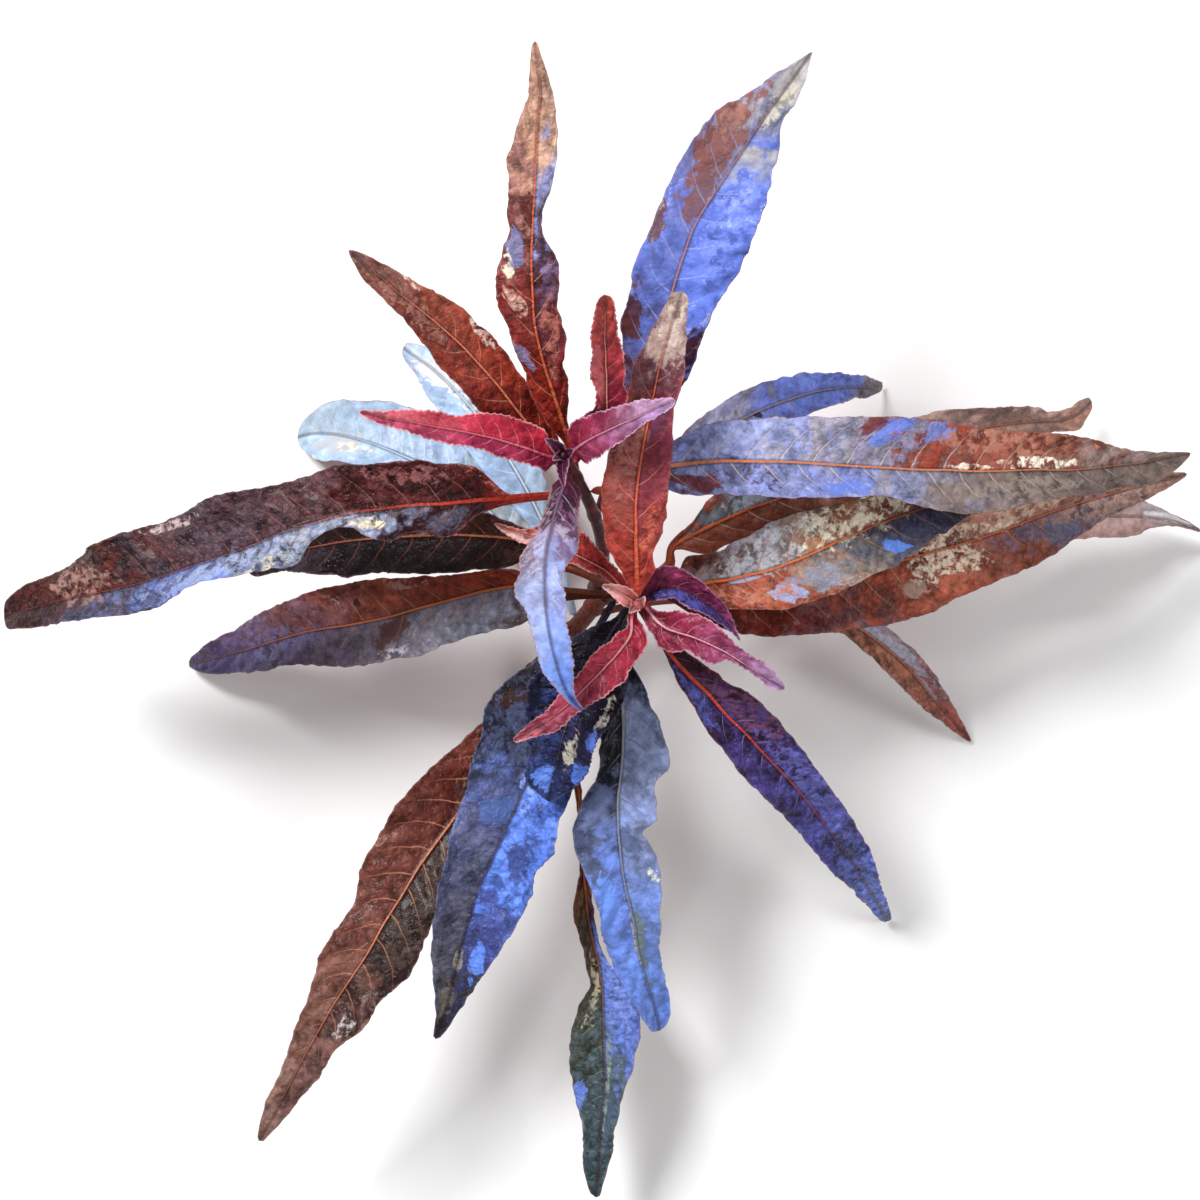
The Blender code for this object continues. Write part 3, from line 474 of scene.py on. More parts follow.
def leaf_line(name, leaf, base, out, step):
    """The midrib as a line from inside the stem to the tip, with the half widths at each point, and how many
    steps long it is. The solids' leaves have a few long faces, each turned as at its start, so the smooth
    line here turns half a face later to lie on them."""
    late = 0.5 / (SOLID_STEPS if leaf.length > YOUNG else YOUNG_SOLID_STEPS)
    rows = [(0, STALK_WIDE / 2, STALK_WIDE / 2, 0)] + OUTLINES[leaf.name]
    far = rows[-1][0]
    left, right, rib = (between(rows, far, column) for column in (1, 2, 3))
    blunt = max(left - rib, right + rib)
    count = round(leaf.length * far / step)
    points, lefts, rights, twists = [], [], [], []
    point = Vector(base)
    for i in range(count + 1):
        share = far * i / count
        left, right, rib = (between(rows, share, column) for column in (1, 2, 3))
        turned, pitch = [], []
        for s in (share - late, share + far * 0.5 / count - late):
            turned.append(math.radians(leaf.heading + leaf.bend * s + leaf.sway * math.sin(math.tau * s)))
            pitch.append(math.radians(leaf.rise + (leaf.dip - leaf.rise) * s))
        points.append(point + Vector((-math.sin(turned[0]), math.cos(turned[0]), 0)) * rib)
        level = Vector((math.cos(turned[1]), math.sin(turned[1]), 0))
        point += (level * math.cos(pitch[1]) + Vector((0, 0, math.sin(pitch[1])))) * leaf.length * far / count
        to_tip = leaf.length * (far - share)
        capped = math.sqrt(1 - (1 - to_tip / blunt) ** 2) if to_tip < blunt else 1
        for half, margin in ((lefts, left - rib), (rights, right + rib)):
            half.append(max(STALK_WIDE / 2 * (1 - share / far), margin, LEAST_HALF) * capped)
        twists.append(math.radians(leaf.twist * share))
    line = path_line(name, [base - out * ROOTED] + points, left=lefts[:1] + lefts, right=rights[:1] + rights,
                     twist=[0] + twists)
    return line, count


leaf_tree = growth_tree("leaf blade", {
    "Steps": "Int", "Columns": "Int", "Stalk": "Float", "Stalk thickness": "Float", "Rib thickness": "Float",
    "Rib height": "Float", "Blade thickness": "Float", "Fold": "Float", "Ruffle": "Float", "Waves": "Float",
    "Phase": "Float", "Crumple": "Float", "Vein pairs": "Float", "Quilting": "Float", "Scallops": "Float",
    "Teeth": "Float", "Seed": "Float", "Tissue": "Material"})
given = add(leaf_tree, "NodeGroupInput").outputs
# A flat grid holds the skin: X runs from stalk to tip, and Y once round the section, over and back under.
rows = add(leaf_tree, "ShaderNodeMath", [given["Columns"], 2, 1], operation="MULTIPLY_ADD")
steps = add(leaf_tree, "ShaderNodeMath", [given["Steps"], 1], operation="ADD")
grid = add(leaf_tree, "GeometryNodeMeshGrid", {
    "Size X": 1.0, "Size Y": 1.0, "Vertices X": steps, "Vertices Y": rows})
spot = add(leaf_tree, "ShaderNodeSeparateXYZ", [add(leaf_tree, "GeometryNodeInputPosition")]).outputs
share = add(leaf_tree, "ShaderNodeMath", [spot["X"], 0.5], operation="ADD")
upper = add(leaf_tree, "ShaderNodeMath", [spot["Y"], 0.0], operation="LESS_THAN")
even = add(leaf_tree, "ShaderNodeMath", [spot["Y"], 4.0], operation="MULTIPLY")
even = add(leaf_tree, "ShaderNodeMath", [even], operation="ABSOLUTE")
even = add(leaf_tree, "ShaderNodeMath", [even, 1.0], operation="SUBTRACT")
# The columns are drawn together at the midrib and at the margins, by up to a tenth of the half width.
pull = add(leaf_tree, "ShaderNodeMath", [even, math.tau], operation="MULTIPLY")
pull = add(leaf_tree, "ShaderNodeMath", [pull], operation="SINE")
across = add(leaf_tree, "ShaderNodeMath", [pull, -0.095, even], operation="MULTIPLY_ADD")
right = add(leaf_tree, "ShaderNodeMath", [across, 0.0], operation="LESS_THAN")
out_from_rib = add(leaf_tree, "ShaderNodeMath", [across], operation="ABSOLUTE")
# The midrib gives each point its place, its half width on this side and the way up.
midrib = add(leaf_tree, "GeometryNodeMeshToCurve", [given["Path"]])
midrib = add(leaf_tree, "GeometryNodeSetCurveNormal", {"Curve": midrib}, mode="Z_UP")
midrib = add(leaf_tree, "GeometryNodeSetCurveTilt", {
    "Curve": midrib, "Tilt": add(leaf_tree, "GeometryNodeInputNamedAttribute", ["twist"], data_type="FLOAT")})
rib = add(leaf_tree, "GeometryNodeSampleCurve", {
    "Curves": midrib, "Value": add(leaf_tree, "GeometryNodeInputNamedAttribute", ["left"], data_type="FLOAT"),
    "Factor": share}, mode="FACTOR").outputs
rib_right = add(leaf_tree, "GeometryNodeSampleCurve", {
    "Curves": midrib, "Value": add(leaf_tree, "GeometryNodeInputNamedAttribute", ["right"], data_type="FLOAT"),
    "Factor": share}, mode="FACTOR").outputs
side = add(leaf_tree, "ShaderNodeVectorMath", {"Vector": rib["Normal"], "Scale": -1.0}, operation="SCALE")
up = add(leaf_tree, "ShaderNodeVectorMath", [rib["Tangent"], side], operation="CROSS_PRODUCT")
length = add(leaf_tree, "GeometryNodeCurveLength", [midrib])
length_mm = add(leaf_tree, "ShaderNodeMath", [length, 1 / MM], operation="MULTIPLY")
along_mm = add(leaf_tree, "ShaderNodeMath", [length_mm, share], operation="MULTIPLY")
# The stalk opens over the blade's first tenth, and the blade lies plain and flat close to both its ends.
blade = add(leaf_tree, "ShaderNodeMapRange", [share, given["Stalk"], 1.0, 0.0, 1.0])
opening = add(leaf_tree, "ShaderNodeMapRange", [blade, 0.0, 0.1, 0.0, 1.0], interpolation_type="SMOOTHSTEP")
starts = add(leaf_tree, "ShaderNodeMapRange", [blade, 0.0, 0.12, 0.0, 1.0])
ends = add(leaf_tree, "ShaderNodeMapRange", [blade, 0.88, 1.0, 1.0, 0.0])
freedom = add(leaf_tree, "ShaderNodeMath", [starts, ends], operation="MULTIPLY")
# Scallops of uneven length, about 3 mm, cut the margins, and young leaves have teeth 1.25 mm apart as well.
edge = add(leaf_tree, "ShaderNodeCombineXYZ", [
    add(leaf_tree, "ShaderNodeMath", [along_mm, 0.3], operation="MULTIPLY"),
    add(leaf_tree, "ShaderNodeMath", [right, APART], operation="MULTIPLY"), given["Seed"]])
edge = add(leaf_tree, "ShaderNodeTexNoise", {"Vector": edge, "Scale": 1.0, "Detail": 2.0, "Roughness": 0.6})
edge = add(leaf_tree, "ShaderNodeMath", [edge, 0.5], operation="SUBTRACT")
edge = add(leaf_tree, "ShaderNodeMath", [edge, given["Scallops"]], operation="MULTIPLY")
tooth = add(leaf_tree, "ShaderNodeMath", [along_mm, 0.8], operation="MULTIPLY")
tooth = add(leaf_tree, "ShaderNodeMath", [tooth], operation="FRACT")
tooth = add(leaf_tree, "ShaderNodeMath", [0.5, tooth], operation="SUBTRACT")
edge = add(leaf_tree, "ShaderNodeMath", [tooth, given["Teeth"], edge], operation="MULTIPLY_ADD")
edge = add(leaf_tree, "ShaderNodeMath", [edge, freedom], operation="MULTIPLY")
half = add(leaf_tree, "ShaderNodeMix", [right, rib["Value"], rib_right["Value"]])
half = add(leaf_tree, "ShaderNodeMath", [half, edge], operation="ADD")
# The skin is drawn together to a point at the stalk's end and at the tip.
stalk_end = add(leaf_tree, "ShaderNodeMapRange", [share, 0.0, 0.008, 0.0, 1.0])
tip_end = add(leaf_tree, "ShaderNodeMapRange", [share, 0.995, 1.0, 1.0, 0.0])
closed = add(leaf_tree, "ShaderNodeMath", [stalk_end, tip_end], operation="MULTIPLY")
reach_mm = add(leaf_tree, "ShaderNodeMath", [half, across], operation="MULTIPLY")
reach_mm = add(leaf_tree, "ShaderNodeMath", [reach_mm, closed], operation="MULTIPLY")
reach = add(leaf_tree, "ShaderNodeMath", [reach_mm, MM], operation="MULTIPLY")
# The margins wave up and down, each side out of step with the other, and dents of about 6 mm crumple the
# blade, more so towards its margins.
turn = add(leaf_tree, "ShaderNodeMath", [blade, given["Waves"]], operation="MULTIPLY")
turn = add(leaf_tree, "ShaderNodeMath", [turn, math.tau, given["Phase"]], operation="MULTIPLY_ADD")
turn = add(leaf_tree, "ShaderNodeMath", [right, math.pi / 2, turn], operation="MULTIPLY_ADD")
wave = add(leaf_tree, "ShaderNodeMath", [turn], operation="SINE")
wave = add(leaf_tree, "ShaderNodeMath", [wave, given["Ruffle"]], operation="MULTIPLY")
squared = add(leaf_tree, "ShaderNodeMath", [across, across], operation="MULTIPLY")
wave = add(leaf_tree, "ShaderNodeMath", [wave, squared], operation="MULTIPLY")
dent = add(leaf_tree, "ShaderNodeCombineXYZ", [
    add(leaf_tree, "ShaderNodeMath", [along_mm, 0.16], operation="MULTIPLY"),
    add(leaf_tree, "ShaderNodeMath", [reach_mm, 0.2], operation="MULTIPLY"), given["Seed"]])
dent = add(leaf_tree, "ShaderNodeTexNoise", {"Vector": dent, "Scale": 1.0, "Detail": 3.0, "Roughness": 0.55})
dent = add(leaf_tree, "ShaderNodeMath", [dent, 0.5], operation="SUBTRACT")
dent = add(leaf_tree, "ShaderNodeMath", [dent, given["Crumple"]], operation="MULTIPLY")
dent = add(leaf_tree, "ShaderNodeMath", [dent, out_from_rib], operation="MULTIPLY")
# Side veins leave the midrib by turns on its two sides and bend towards the tip, and the skin swells between
# them.
vein = add(leaf_tree, "ShaderNodeMath", [out_from_rib, STRAIGHT, squared], operation="MULTIPLY_ADD")
vein = add(leaf_tree, "ShaderNodeMath", [vein, -SLANT], operation="MULTIPLY")
vein = add(leaf_tree, "ShaderNodeMath", [blade, given["Vein pairs"], vein], operation="MULTIPLY_ADD")
quilt = add(leaf_tree, "ShaderNodeMath", [right, 0.5, vein], operation="MULTIPLY_ADD")
quilt = add(leaf_tree, "ShaderNodeMath", [quilt, math.tau], operation="MULTIPLY")
quilt = add(leaf_tree, "ShaderNodeMath", [quilt], operation="COSINE")
quilt = add(leaf_tree, "ShaderNodeMath", [1.0, quilt], operation="SUBTRACT")
quilt = add(leaf_tree, "ShaderNodeMath", [quilt, given["Quilting"]], operation="MULTIPLY")
swell = add(leaf_tree, "ShaderNodeMath", [1.2, squared], operation="SUBTRACT")
swell = add(leaf_tree, "ShaderNodeMath", [swell, out_from_rib], operation="MULTIPLY")
quilt = add(leaf_tree, "ShaderNodeMath", [quilt, swell], operation="MULTIPLY")
lift = add(leaf_tree, "ShaderNodeMath", [wave, quilt], operation="ADD")
lift = add(leaf_tree, "ShaderNodeMath", [lift, dent], operation="ADD")
lift = add(leaf_tree, "ShaderNodeMath", [lift, freedom], operation="MULTIPLY")
# The section: a round stalk opens into a thin blade. The rib below it thins out to each side over 1.2 mm, and
# over the rib lies a low ridge that reaches 0.9 mm to each side at the stalk and 0.4 mm at the tip.
rib_thick = add(leaf_tree, "ShaderNodeMapRange", [
    blade, 0.0, 1.0, given["Stalk thickness"], given["Rib thickness"]])
rib_half = add(leaf_tree, "ShaderNodeMath", [rib_thick, 0.5], operation="MULTIPLY")
round_off = add(leaf_tree, "ShaderNodeMath", [1.0, squared], operation="SUBTRACT")
round_off = add(leaf_tree, "ShaderNodeMath", [round_off, 0.0], operation="MAXIMUM")
round_off = add(leaf_tree, "ShaderNodeMath", [round_off], operation="SQRT")
over_under = add(leaf_tree, "ShaderNodeMath", [upper, 2.0, -1.0], operation="MULTIPLY_ADD")
stalk_z = add(leaf_tree, "ShaderNodeMath", [over_under, round_off], operation="MULTIPLY")
stalk_z = add(leaf_tree, "ShaderNodeMath", [stalk_z, 1.0], operation="SUBTRACT")
stalk_z = add(leaf_tree, "ShaderNodeMath", [stalk_z, rib_half], operation="MULTIPLY")
beside = add(leaf_tree, "ShaderNodeMath", [reach_mm], operation="ABSOLUTE")
thick = add(leaf_tree, "ShaderNodeMapRange", [beside, 0.0, 1.2, rib_thick, given["Blade thickness"]],
            interpolation_type="SMOOTHSTEP")
fourth = add(leaf_tree, "ShaderNodeMath", [squared, squared], operation="MULTIPLY")
rim = add(leaf_tree, "ShaderNodeMath", [1.0, fourth], operation="SUBTRACT")
blade_z = add(leaf_tree, "ShaderNodeMath", [thick, rim], operation="MULTIPLY")
under = add(leaf_tree, "ShaderNodeMath", [upper, 1.0], operation="SUBTRACT")
blade_z = add(leaf_tree, "ShaderNodeMath", [blade_z, under], operation="MULTIPLY")
ridge_wide = add(leaf_tree, "ShaderNodeMapRange", [blade, 0.0, 1.0, 0.9, 0.4])
ridge = add(leaf_tree, "ShaderNodeMapRange", [beside, 0.0, ridge_wide, given["Rib height"], 0.0],
            interpolation_type="SMOOTHSTEP")
ridge = add(leaf_tree, "ShaderNodeMath", [ridge, freedom], operation="MULTIPLY")
ridge = add(leaf_tree, "ShaderNodeMath", [ridge, rim], operation="MULTIPLY")
blade_z = add(leaf_tree, "ShaderNodeMath", [ridge, upper, blade_z], operation="MULTIPLY_ADD")
skin_z = add(leaf_tree, "ShaderNodeMix", [opening, stalk_z, blade_z])
middle_z = add(leaf_tree, "ShaderNodeMapRange", [opening, 0.0, 1.0, -1.0, 0.0])
middle_z = add(leaf_tree, "ShaderNodeMath", [middle_z, rib_half], operation="MULTIPLY")
skin_z = add(leaf_tree, "ShaderNodeMix", [closed, middle_z, skin_z])
# Both sides fold up from the midrib, and each point then takes its place beside and above it.
fold = add(leaf_tree, "ShaderNodeMath", [given["Fold"], opening], operation="MULTIPLY")
fold_sine = add(leaf_tree, "ShaderNodeMath", [fold], operation="SINE")
fold_cosine = add(leaf_tree, "ShaderNodeMath", [fold], operation="COSINE")
raised = add(leaf_tree, "ShaderNodeMath", [reach], operation="ABSOLUTE")
raised = add(leaf_tree, "ShaderNodeMath", [raised, fold_sine, skin_z], operation="MULTIPLY_ADD")
raised = add(leaf_tree, "ShaderNodeMath", [raised, lift], operation="ADD")
level = add(leaf_tree, "ShaderNodeMath", [reach, fold_cosine], operation="MULTIPLY")
place = add(leaf_tree, "ShaderNodeVectorMath", {"Vector": up, "Scale": raised}, operation="SCALE")
place = add(leaf_tree, "ShaderNodeVectorMath", [place, rib["Position"]], operation="ADD")
sideways = add(leaf_tree, "ShaderNodeVectorMath", {"Vector": side, "Scale": level}, operation="SCALE")
place = add(leaf_tree, "ShaderNodeVectorMath", [place, sideways], operation="ADD")
# The skin keeps where it is on the leaf, for the tissue's colours and veins, and then closes at its seams.
across_uv = add(leaf_tree, "ShaderNodeMath", [across, 0.5, 0.5], operation="MULTIPLY_ADD")
uv = add(leaf_tree, "ShaderNodeCombineXYZ", [across_uv, share])
marked = add(leaf_tree, "GeometryNodeStoreNamedAttribute", {
    "Geometry": grid, "Name": "UVMap", "Value": uv}, data_type="FLOAT2", domain="CORNER")
on_leaf = add(leaf_tree, "ShaderNodeCombineXYZ", [reach_mm, along_mm, vein])
marked = add(leaf_tree, "GeometryNodeStoreNamedAttribute", {
    "Geometry": marked, "Name": "on_leaf", "Value": on_leaf}, data_type="FLOAT_VECTOR", domain="POINT")
marked = add(leaf_tree, "GeometryNodeStoreNamedAttribute", {
    "Geometry": marked, "Name": "upper", "Value": upper}, data_type="FLOAT", domain="FACE")
skin = add(leaf_tree, "GeometryNodeSetPosition", {"Geometry": marked, "Position": place})
skin = add(leaf_tree, "GeometryNodeMergeByDistance", {"Geometry": skin, "Distance": SAME_SPOT * MM})
skin = add(leaf_tree, "GeometryNodeFlipFaces", [skin])
skin = add(leaf_tree, "GeometryNodeSetShadeSmooth", [skin])
skin = add(leaf_tree, "GeometryNodeRealizeInstances", [skin])
skin = add(leaf_tree, "GeometryNodeSetMaterial", {"Geometry": skin, "Material": given["Tissue"]})
add(leaf_tree, "NodeGroupOutput", [skin])


# Leaf colours. The living skin is red where a leaf is young, and brown and purple where it is old. Where it is
# blue to lilac, the colour is a painted reflection of blue sky on the wet, glossy skin.
# Each side of a leaf, left and right as seen from its stalk, has its colours along it, from stalk to tip. The
# midrib, the side veins and the margin's rim have a colour each; the rim's pale line is a painted highlight
# along the edge. The tint patches are skin in other colours and painted blue to lilac reflection, and the gloss
# patches are painted highlights and reflections between crumbs of plain skin, each given as its place along and
# across the leaf, its reach along and across, and its colour. The midrib's colour has worn off at the share
# rib_end of the length, and crinkle is how crinkled the skin is, beside an old leaf's 1.
Skin = namedtuple(
    "Skin", "left right rib vein bloom gloss rim rib_end crinkle", defaults=((), (), "#A87C74", 0.95, 1.0))
SKINS = {
    "young_left": Skin(
        left=[(0, "#86183A"), (0.5, "#962A4C"), (0.9, "#B04A62")],
        right=[(0, "#A81E34"), (0.5, "#BC3048"), (0.9, "#C86470")],
        rib="#D86070", vein="#D88890", rim="#E8B4B8", crinkle=0.65),
    "young_right": Skin(
        left=[(0, "#861A32"), (0.4, "#9A3452"), (0.8, "#B48CB0")],
        right=[(0, "#761C34"), (0.4, "#8C3A58"), (0.8, "#A680AE")],
        rib="#C87890", vein="#B06884", rim="#D0A8C8", crinkle=0.55),
    "young_top": Skin(
        left=[(0, "#98183A"), (0.5, "#B03444"), (1, "#A84A40")],
        right=[(0, "#8A1A44"), (0.4, "#A42C44"), (1, "#A04038")],
        rib="#E8A090", vein="#D88070", rim="#D89A9C", crinkle=0.7,
        bloom=[(0.62, 0.55, 0.14, 0.35, "#C4646A")]),
    "lavender": Skin(
        left=[(0, "#4A1A2C"), (0.16, "#5A3048"), (0.3, "#806C90"), (0.4, "#9098C8"), (0.6, "#96A4E0"),
              (0.8, "#7C98E4"), (1, "#4A68B8")],
        right=[(0, "#3E1A28"), (0.18, "#4E2C3C"), (0.32, "#8A7890"), (0.44, "#A0A8D0"), (0.65, "#A4B0E4"),
               (0.82, "#84A0E8"), (1, "#4A6CC0")],
        rib="#705068", vein="#A8A0C8", rib_end=0.7, crinkle=0.4,
        bloom=[(0.14, 0.5, 0.05, 0.4, "#2E1622"), (0.24, -0.4, 0.04, 0.5, "#3E2030")],
        gloss=[(0.16, -0.3, 0.05, 0.4, "#8E7C8A"), (0.27, 0.4, 0.04, 0.4, "#A497AC")]),
    "top": Skin(
        left=[(0, "#8E2018"), (0.35, "#88261A"), (0.5, "#7A3634"), (0.6, "#8A5450"), (0.72, "#A0726A"),
              (0.8, "#B4866E"), (1, "#B08878")],
        right=[(0, "#8A1E18"), (0.3, "#781E1C"), (0.45, "#5A2A34"), (0.56, "#6A5470"), (0.62, "#8486AE"),
               (0.74, "#8E94C8"), (0.79, "#B4907E"), (1, "#AC7C68")],
        rib="#D0603C", vein="#C48068",
        bloom=[(0.56, 0.55, 0.03, 0.3, "#7C7CA8"), (0.32, 0.8, 0.03, 0.3, "#8A7CA4"),
               (0.66, 0.15, 0.05, 0.3, "#5A2A28")],
        gloss=[(0.51, 0.75, 0.025, 0.25, "#F4E8CC"), (0.45, 0.5, 0.025, 0.3, "#D8A898"),
               (0.36, -0.5, 0.1, 0.4, "#A86458")]),
    "upper_left": Skin(
        left=[(0, "#641410"), (0.4, "#7E2418"), (0.75, "#7E3A2E"), (0.9, "#72483E"), (1, "#604440")],
        right=[(0, "#701A12"), (0.5, "#8E3022"), (0.8, "#8A4838"), (0.9, "#78504A"), (1, "#644844")],
        rib="#D07050", vein="#BC7E68",
        gloss=[(0.55, -0.85, 0.05, 0.2, "#E0C0B4"), (0.78, -0.85, 0.03, 0.2, "#E0C0B4"),
               (0.8, 0.3, 0.12, 0.5, "#94645A")]),
    "left_long": Skin(
        left=[(0, "#B03428"), (0.1, "#4A1618"), (0.24, "#2E1822"), (0.31, "#5E5C70"), (0.38, "#8A92AC"),
              (0.52, "#7E88A8"), (0.6, "#6E84C8"), (0.7, "#56608C"), (0.78, "#4A465E"), (0.9, "#40282C"),
              (1, "#341C1C")],
        right=[(0, "#A83428"), (0.1, "#5A1414"), (0.22, "#2E1416"), (0.32, "#4E1C1C"), (0.42, "#503438"),
               (0.62, "#4E3E48"), (0.74, "#4A2826"), (0.86, "#541F1A"), (1, "#301010")],
        rib="#DC4430", vein="#8A5C50", rib_end=0.42, crinkle=1.3,
        bloom=[(0.2, 0.5, 0.03, 0.3, "#4A4658"), (0.62, 0.75, 0.06, 0.25, "#8C9CD8"),
               (0.14, 0.5, 0.04, 0.5, "#2A1018")],
        gloss=[(0.33, 0.6, 0.03, 0.35, "#EADFC0"), (0.49, 0.8, 0.02, 0.3, "#EADFC0"),
               (0.84, -0.2, 0.06, 0.5, "#9A746C"), (0.1, -0.6, 0.04, 0.3, "#D09090"),
               (0.26, -0.7, 0.05, 0.2, "#8A5454"), (0.62, -0.85, 0.05, 0.1, "#C0A8A4"),
               (0.6, 0.5, 0.1, 0.4, "#98A2C4"), (0.42, 0.5, 0.08, 0.4, "#A6AAB8")]),
    "right_upper": Skin(
        left=[(0, "#A04438"), (0.06, "#7880BC"), (0.16, "#8C94C8"), (0.3, "#98A0D0"), (0.36, "#9C96A4"),
              (0.47, "#8A84A4"), (0.52, "#8A5048"), (0.6, "#86382A"), (0.76, "#8C5244"), (0.86, "#86706A"),
              (1, "#6E605C")],
        right=[(0, "#A04438"), (0.08, "#7478AC"), (0.25, "#8C94C4"), (0.36, "#7A86C4"), (0.44, "#8C90B4"),
               (0.52, "#847C8C"), (0.6, "#766864"), (0.8, "#6C5C58"), (1, "#64544F")],
        rib="#C87850", vein="#C4B0A8", crinkle=0.8,
        bloom=[(0.16, -0.6, 0.04, 0.3, "#703038"), (0.4, -0.7, 0.04, 0.25, "#6A80D0"),
               (0.45, 0.8, 0.025, 0.3, "#6A80D4"), (0.53, 0.8, 0.02, 0.25, "#7488D0"),
               (0.42, 0.9, 0.02, 0.2, "#7A3A30")],
        gloss=[(0.71, 0.2, 0.075, 0.15, "#FCF4E0"), (0.62, 0.08, 0.04, 0.08, "#F0E0D0"),
               (0.26, -0.4, 0.04, 0.4, "#50486C"), (0.66, 0.7, 0.12, 0.3, "#A8705E"),
               (0.68, -0.5, 0.1, 0.3, "#867A72"), (0.06, 0.3, 0.06, 0.6, "#B0B0CC")]),
    "top_right": Skin(
        left=[(0, "#6A2A22"), (0.3, "#5E3A4C"), (0.38, "#606098"), (0.46, "#6476C8"), (0.58, "#6676C6"),
              (0.7, "#7074AC"), (0.84, "#86829A"), (0.92, "#9E98A0"), (1, "#A09A98")],
        right=[(0, "#4A1A1C"), (0.32, "#4E2C44"), (0.38, "#5868B8"), (0.5, "#6076D2"), (0.74, "#667AD2"),
               (0.79, "#8E92B4"), (0.86, "#ACA6A0"), (1, "#A8A4A4")],
        rib="#A87478", vein="#98A0DC", rim="#B8A8C8", crinkle=0.45,
        bloom=[(0.76, 0.55, 0.11, 0.45, "#8A544A"), (0.67, 0.25, 0.06, 0.22, "#7C5860"),
               (0.4, 0.8, 0.05, 0.35, "#5E3430"), (0.56, 0.9, 0.03, 0.2, "#6A4A48"),
               (0.36, -0.6, 0.05, 0.5, "#401A24")],
        gloss=[(0.62, -0.5, 0.12, 0.3, "#7C90EC"), (0.9, -0.3, 0.05, 0.5, "#C4BCAC"),
               (0.8, 0.6, 0.05, 0.3, "#A8766A")]),
    "right_blue": Skin(
        left=[(0, "#A05A42"), (0.25, "#8A86A0"), (0.5, "#8486A8"), (0.6, "#6C82DA"), (0.85, "#6C82DA"),
              (0.92, "#6A6470"), (1, "#5A545E")],
        right=[(0, "#A05A42"), (0.25, "#7E7A94"), (0.5, "#8884A0"), (0.62, "#6C82DA"), (0.8, "#6478D0"),
               (0.88, "#64606E"), (1, "#5A545E")],
        rib="#9A8484", vein="#9090B8", crinkle=0.6,
        bloom=[(0.52, -0.12, 0.012, 0.2, "#16161E")],
        gloss=[(0.4, 0.3, 0.1, 0.5, "#A8A8C0")]),
    "red_rib": Skin(
        left=[(0, "#C04438"), (0.15, "#B44238"), (0.3, "#98403A"), (0.6, "#8A4A44"), (0.68, "#7E3A3A"),
              (0.71, "#663C44"), (0.8, "#6E464C"), (0.83, "#A48680"), (1, "#B09A90")],
        right=[(0, "#C04438"), (0.15, "#B43E36"), (0.35, "#8E3E44"), (0.6, "#84364A"), (0.68, "#783A44"),
               (0.71, "#623840"), (0.8, "#6E464C"), (0.83, "#A08480"), (1, "#B0A098")],
        rib="#E06448", vein="#D08070", crinkle=0.75,
        bloom=[(0.62, -0.5, 0.05, 0.4, "#6A3A50"), (0.35, 0.5, 0.08, 0.4, "#A04E48")],
        gloss=[(0.5, 0.4, 0.12, 0.5, "#A86864"), (0.22, -0.5, 0.1, 0.4, "#C86450"),
               (0.9, 0.0, 0.06, 0.6, "#C8B4A8")]),
    "young_low_right": Skin(
        left=[(0, "#821C30"), (0.4, "#8C2A46"), (0.65, "#9A5078"), (1, "#A084AC")],
        right=[(0, "#781A2C"), (0.4, "#7E243E"), (0.7, "#90446A"), (1, "#9874A2")],
        rib="#D890A0", vein="#C87890", rim="#CFA0B8", crinkle=0.7),
    "young_low_left": Skin(
        left=[(0, "#84142A"), (0.4, "#8C2438"), (0.7, "#9A4258"), (1, "#A85A64")],
        right=[(0, "#961C2E"), (0.5, "#A43044"), (1, "#A44A60")],
        rib="#D08088", vein="#C87078", rim="#D89CA4", crinkle=0.75),
    "folded": Skin(
        left=[(0, "#7A2840"), (0.5, "#86305A"), (1, "#9A4A78")],
        right=[(0, "#2A2450"), (0.5, "#363070"), (1, "#5E3E86")],
        rib="#4A1E40", vein="#B06088", rim="#B48AA8",
        gloss=[(0.4, -0.5, 0.2, 0.4, "#4C4A94")]),
    "small_red": Skin(
        left=[(0, "#B03434"), (0.4, "#B84040"), (0.75, "#C07874"), (1, "#C88A88")],
        right=[(0, "#A83030"), (0.6, "#B03A38"), (1, "#B05A54")],
        rib="#E08878", vein="#D87060", rim="#E0A8A4",
        gloss=[(0.8, 0.2, 0.15, 0.7, "#E0B8B4")]),
    "bottom_grey": Skin(
        left=[(0, "#16161E"), (0.1, "#1E2028"), (0.16, "#545E7C"), (0.26, "#7480A4"), (0.44, "#8894BE"),
              (0.6, "#7A90D0"), (0.8, "#6E8ADC"), (1, "#6E90EC")],
        right=[(0, "#16161E"), (0.32, "#121218"), (0.38, "#444A68"), (0.5, "#606C94"), (0.58, "#6C84D4"),
               (0.8, "#7494EC"), (1, "#6E90EC")],
        rib="#868A94", vein="#6A7088", rim="#8E94B8", crinkle=0.55,
        bloom=[(0.62, -0.6, 0.05, 0.3, "#7098F4"), (0.77, 0.2, 0.12, 0.13, "#6E7C7C"),
               (0.5, 0.3, 0.03, 0.3, "#5E6A90")],
        gloss=[(0.57, 0.85, 0.015, 0.15, "#F4F0E0"), (0.76, -0.02, 0.12, 0.06, "#D0D4C0")]),
    "bottom_right": Skin(
        left=[(0, "#5A1A20"), (0.1, "#42101C"), (0.22, "#4A1C38"), (0.36, "#463470"), (0.5, "#54509A"),
              (0.7, "#5E6AB8"), (1, "#647CD0")],
        right=[(0, "#42141A"), (0.12, "#280C18"), (0.24, "#321E44"), (0.4, "#40346E"), (0.6, "#4A4890"),
               (0.8, "#5464B4"), (1, "#627AD0")],
        rib="#C84632", vein="#7C70AC", rib_end=0.6, crinkle=1.3,
        bloom=[(0.13, 0.4, 0.05, 0.5, "#2A0E1A"), (0.2, -0.5, 0.05, 0.4, "#3C3C74")],
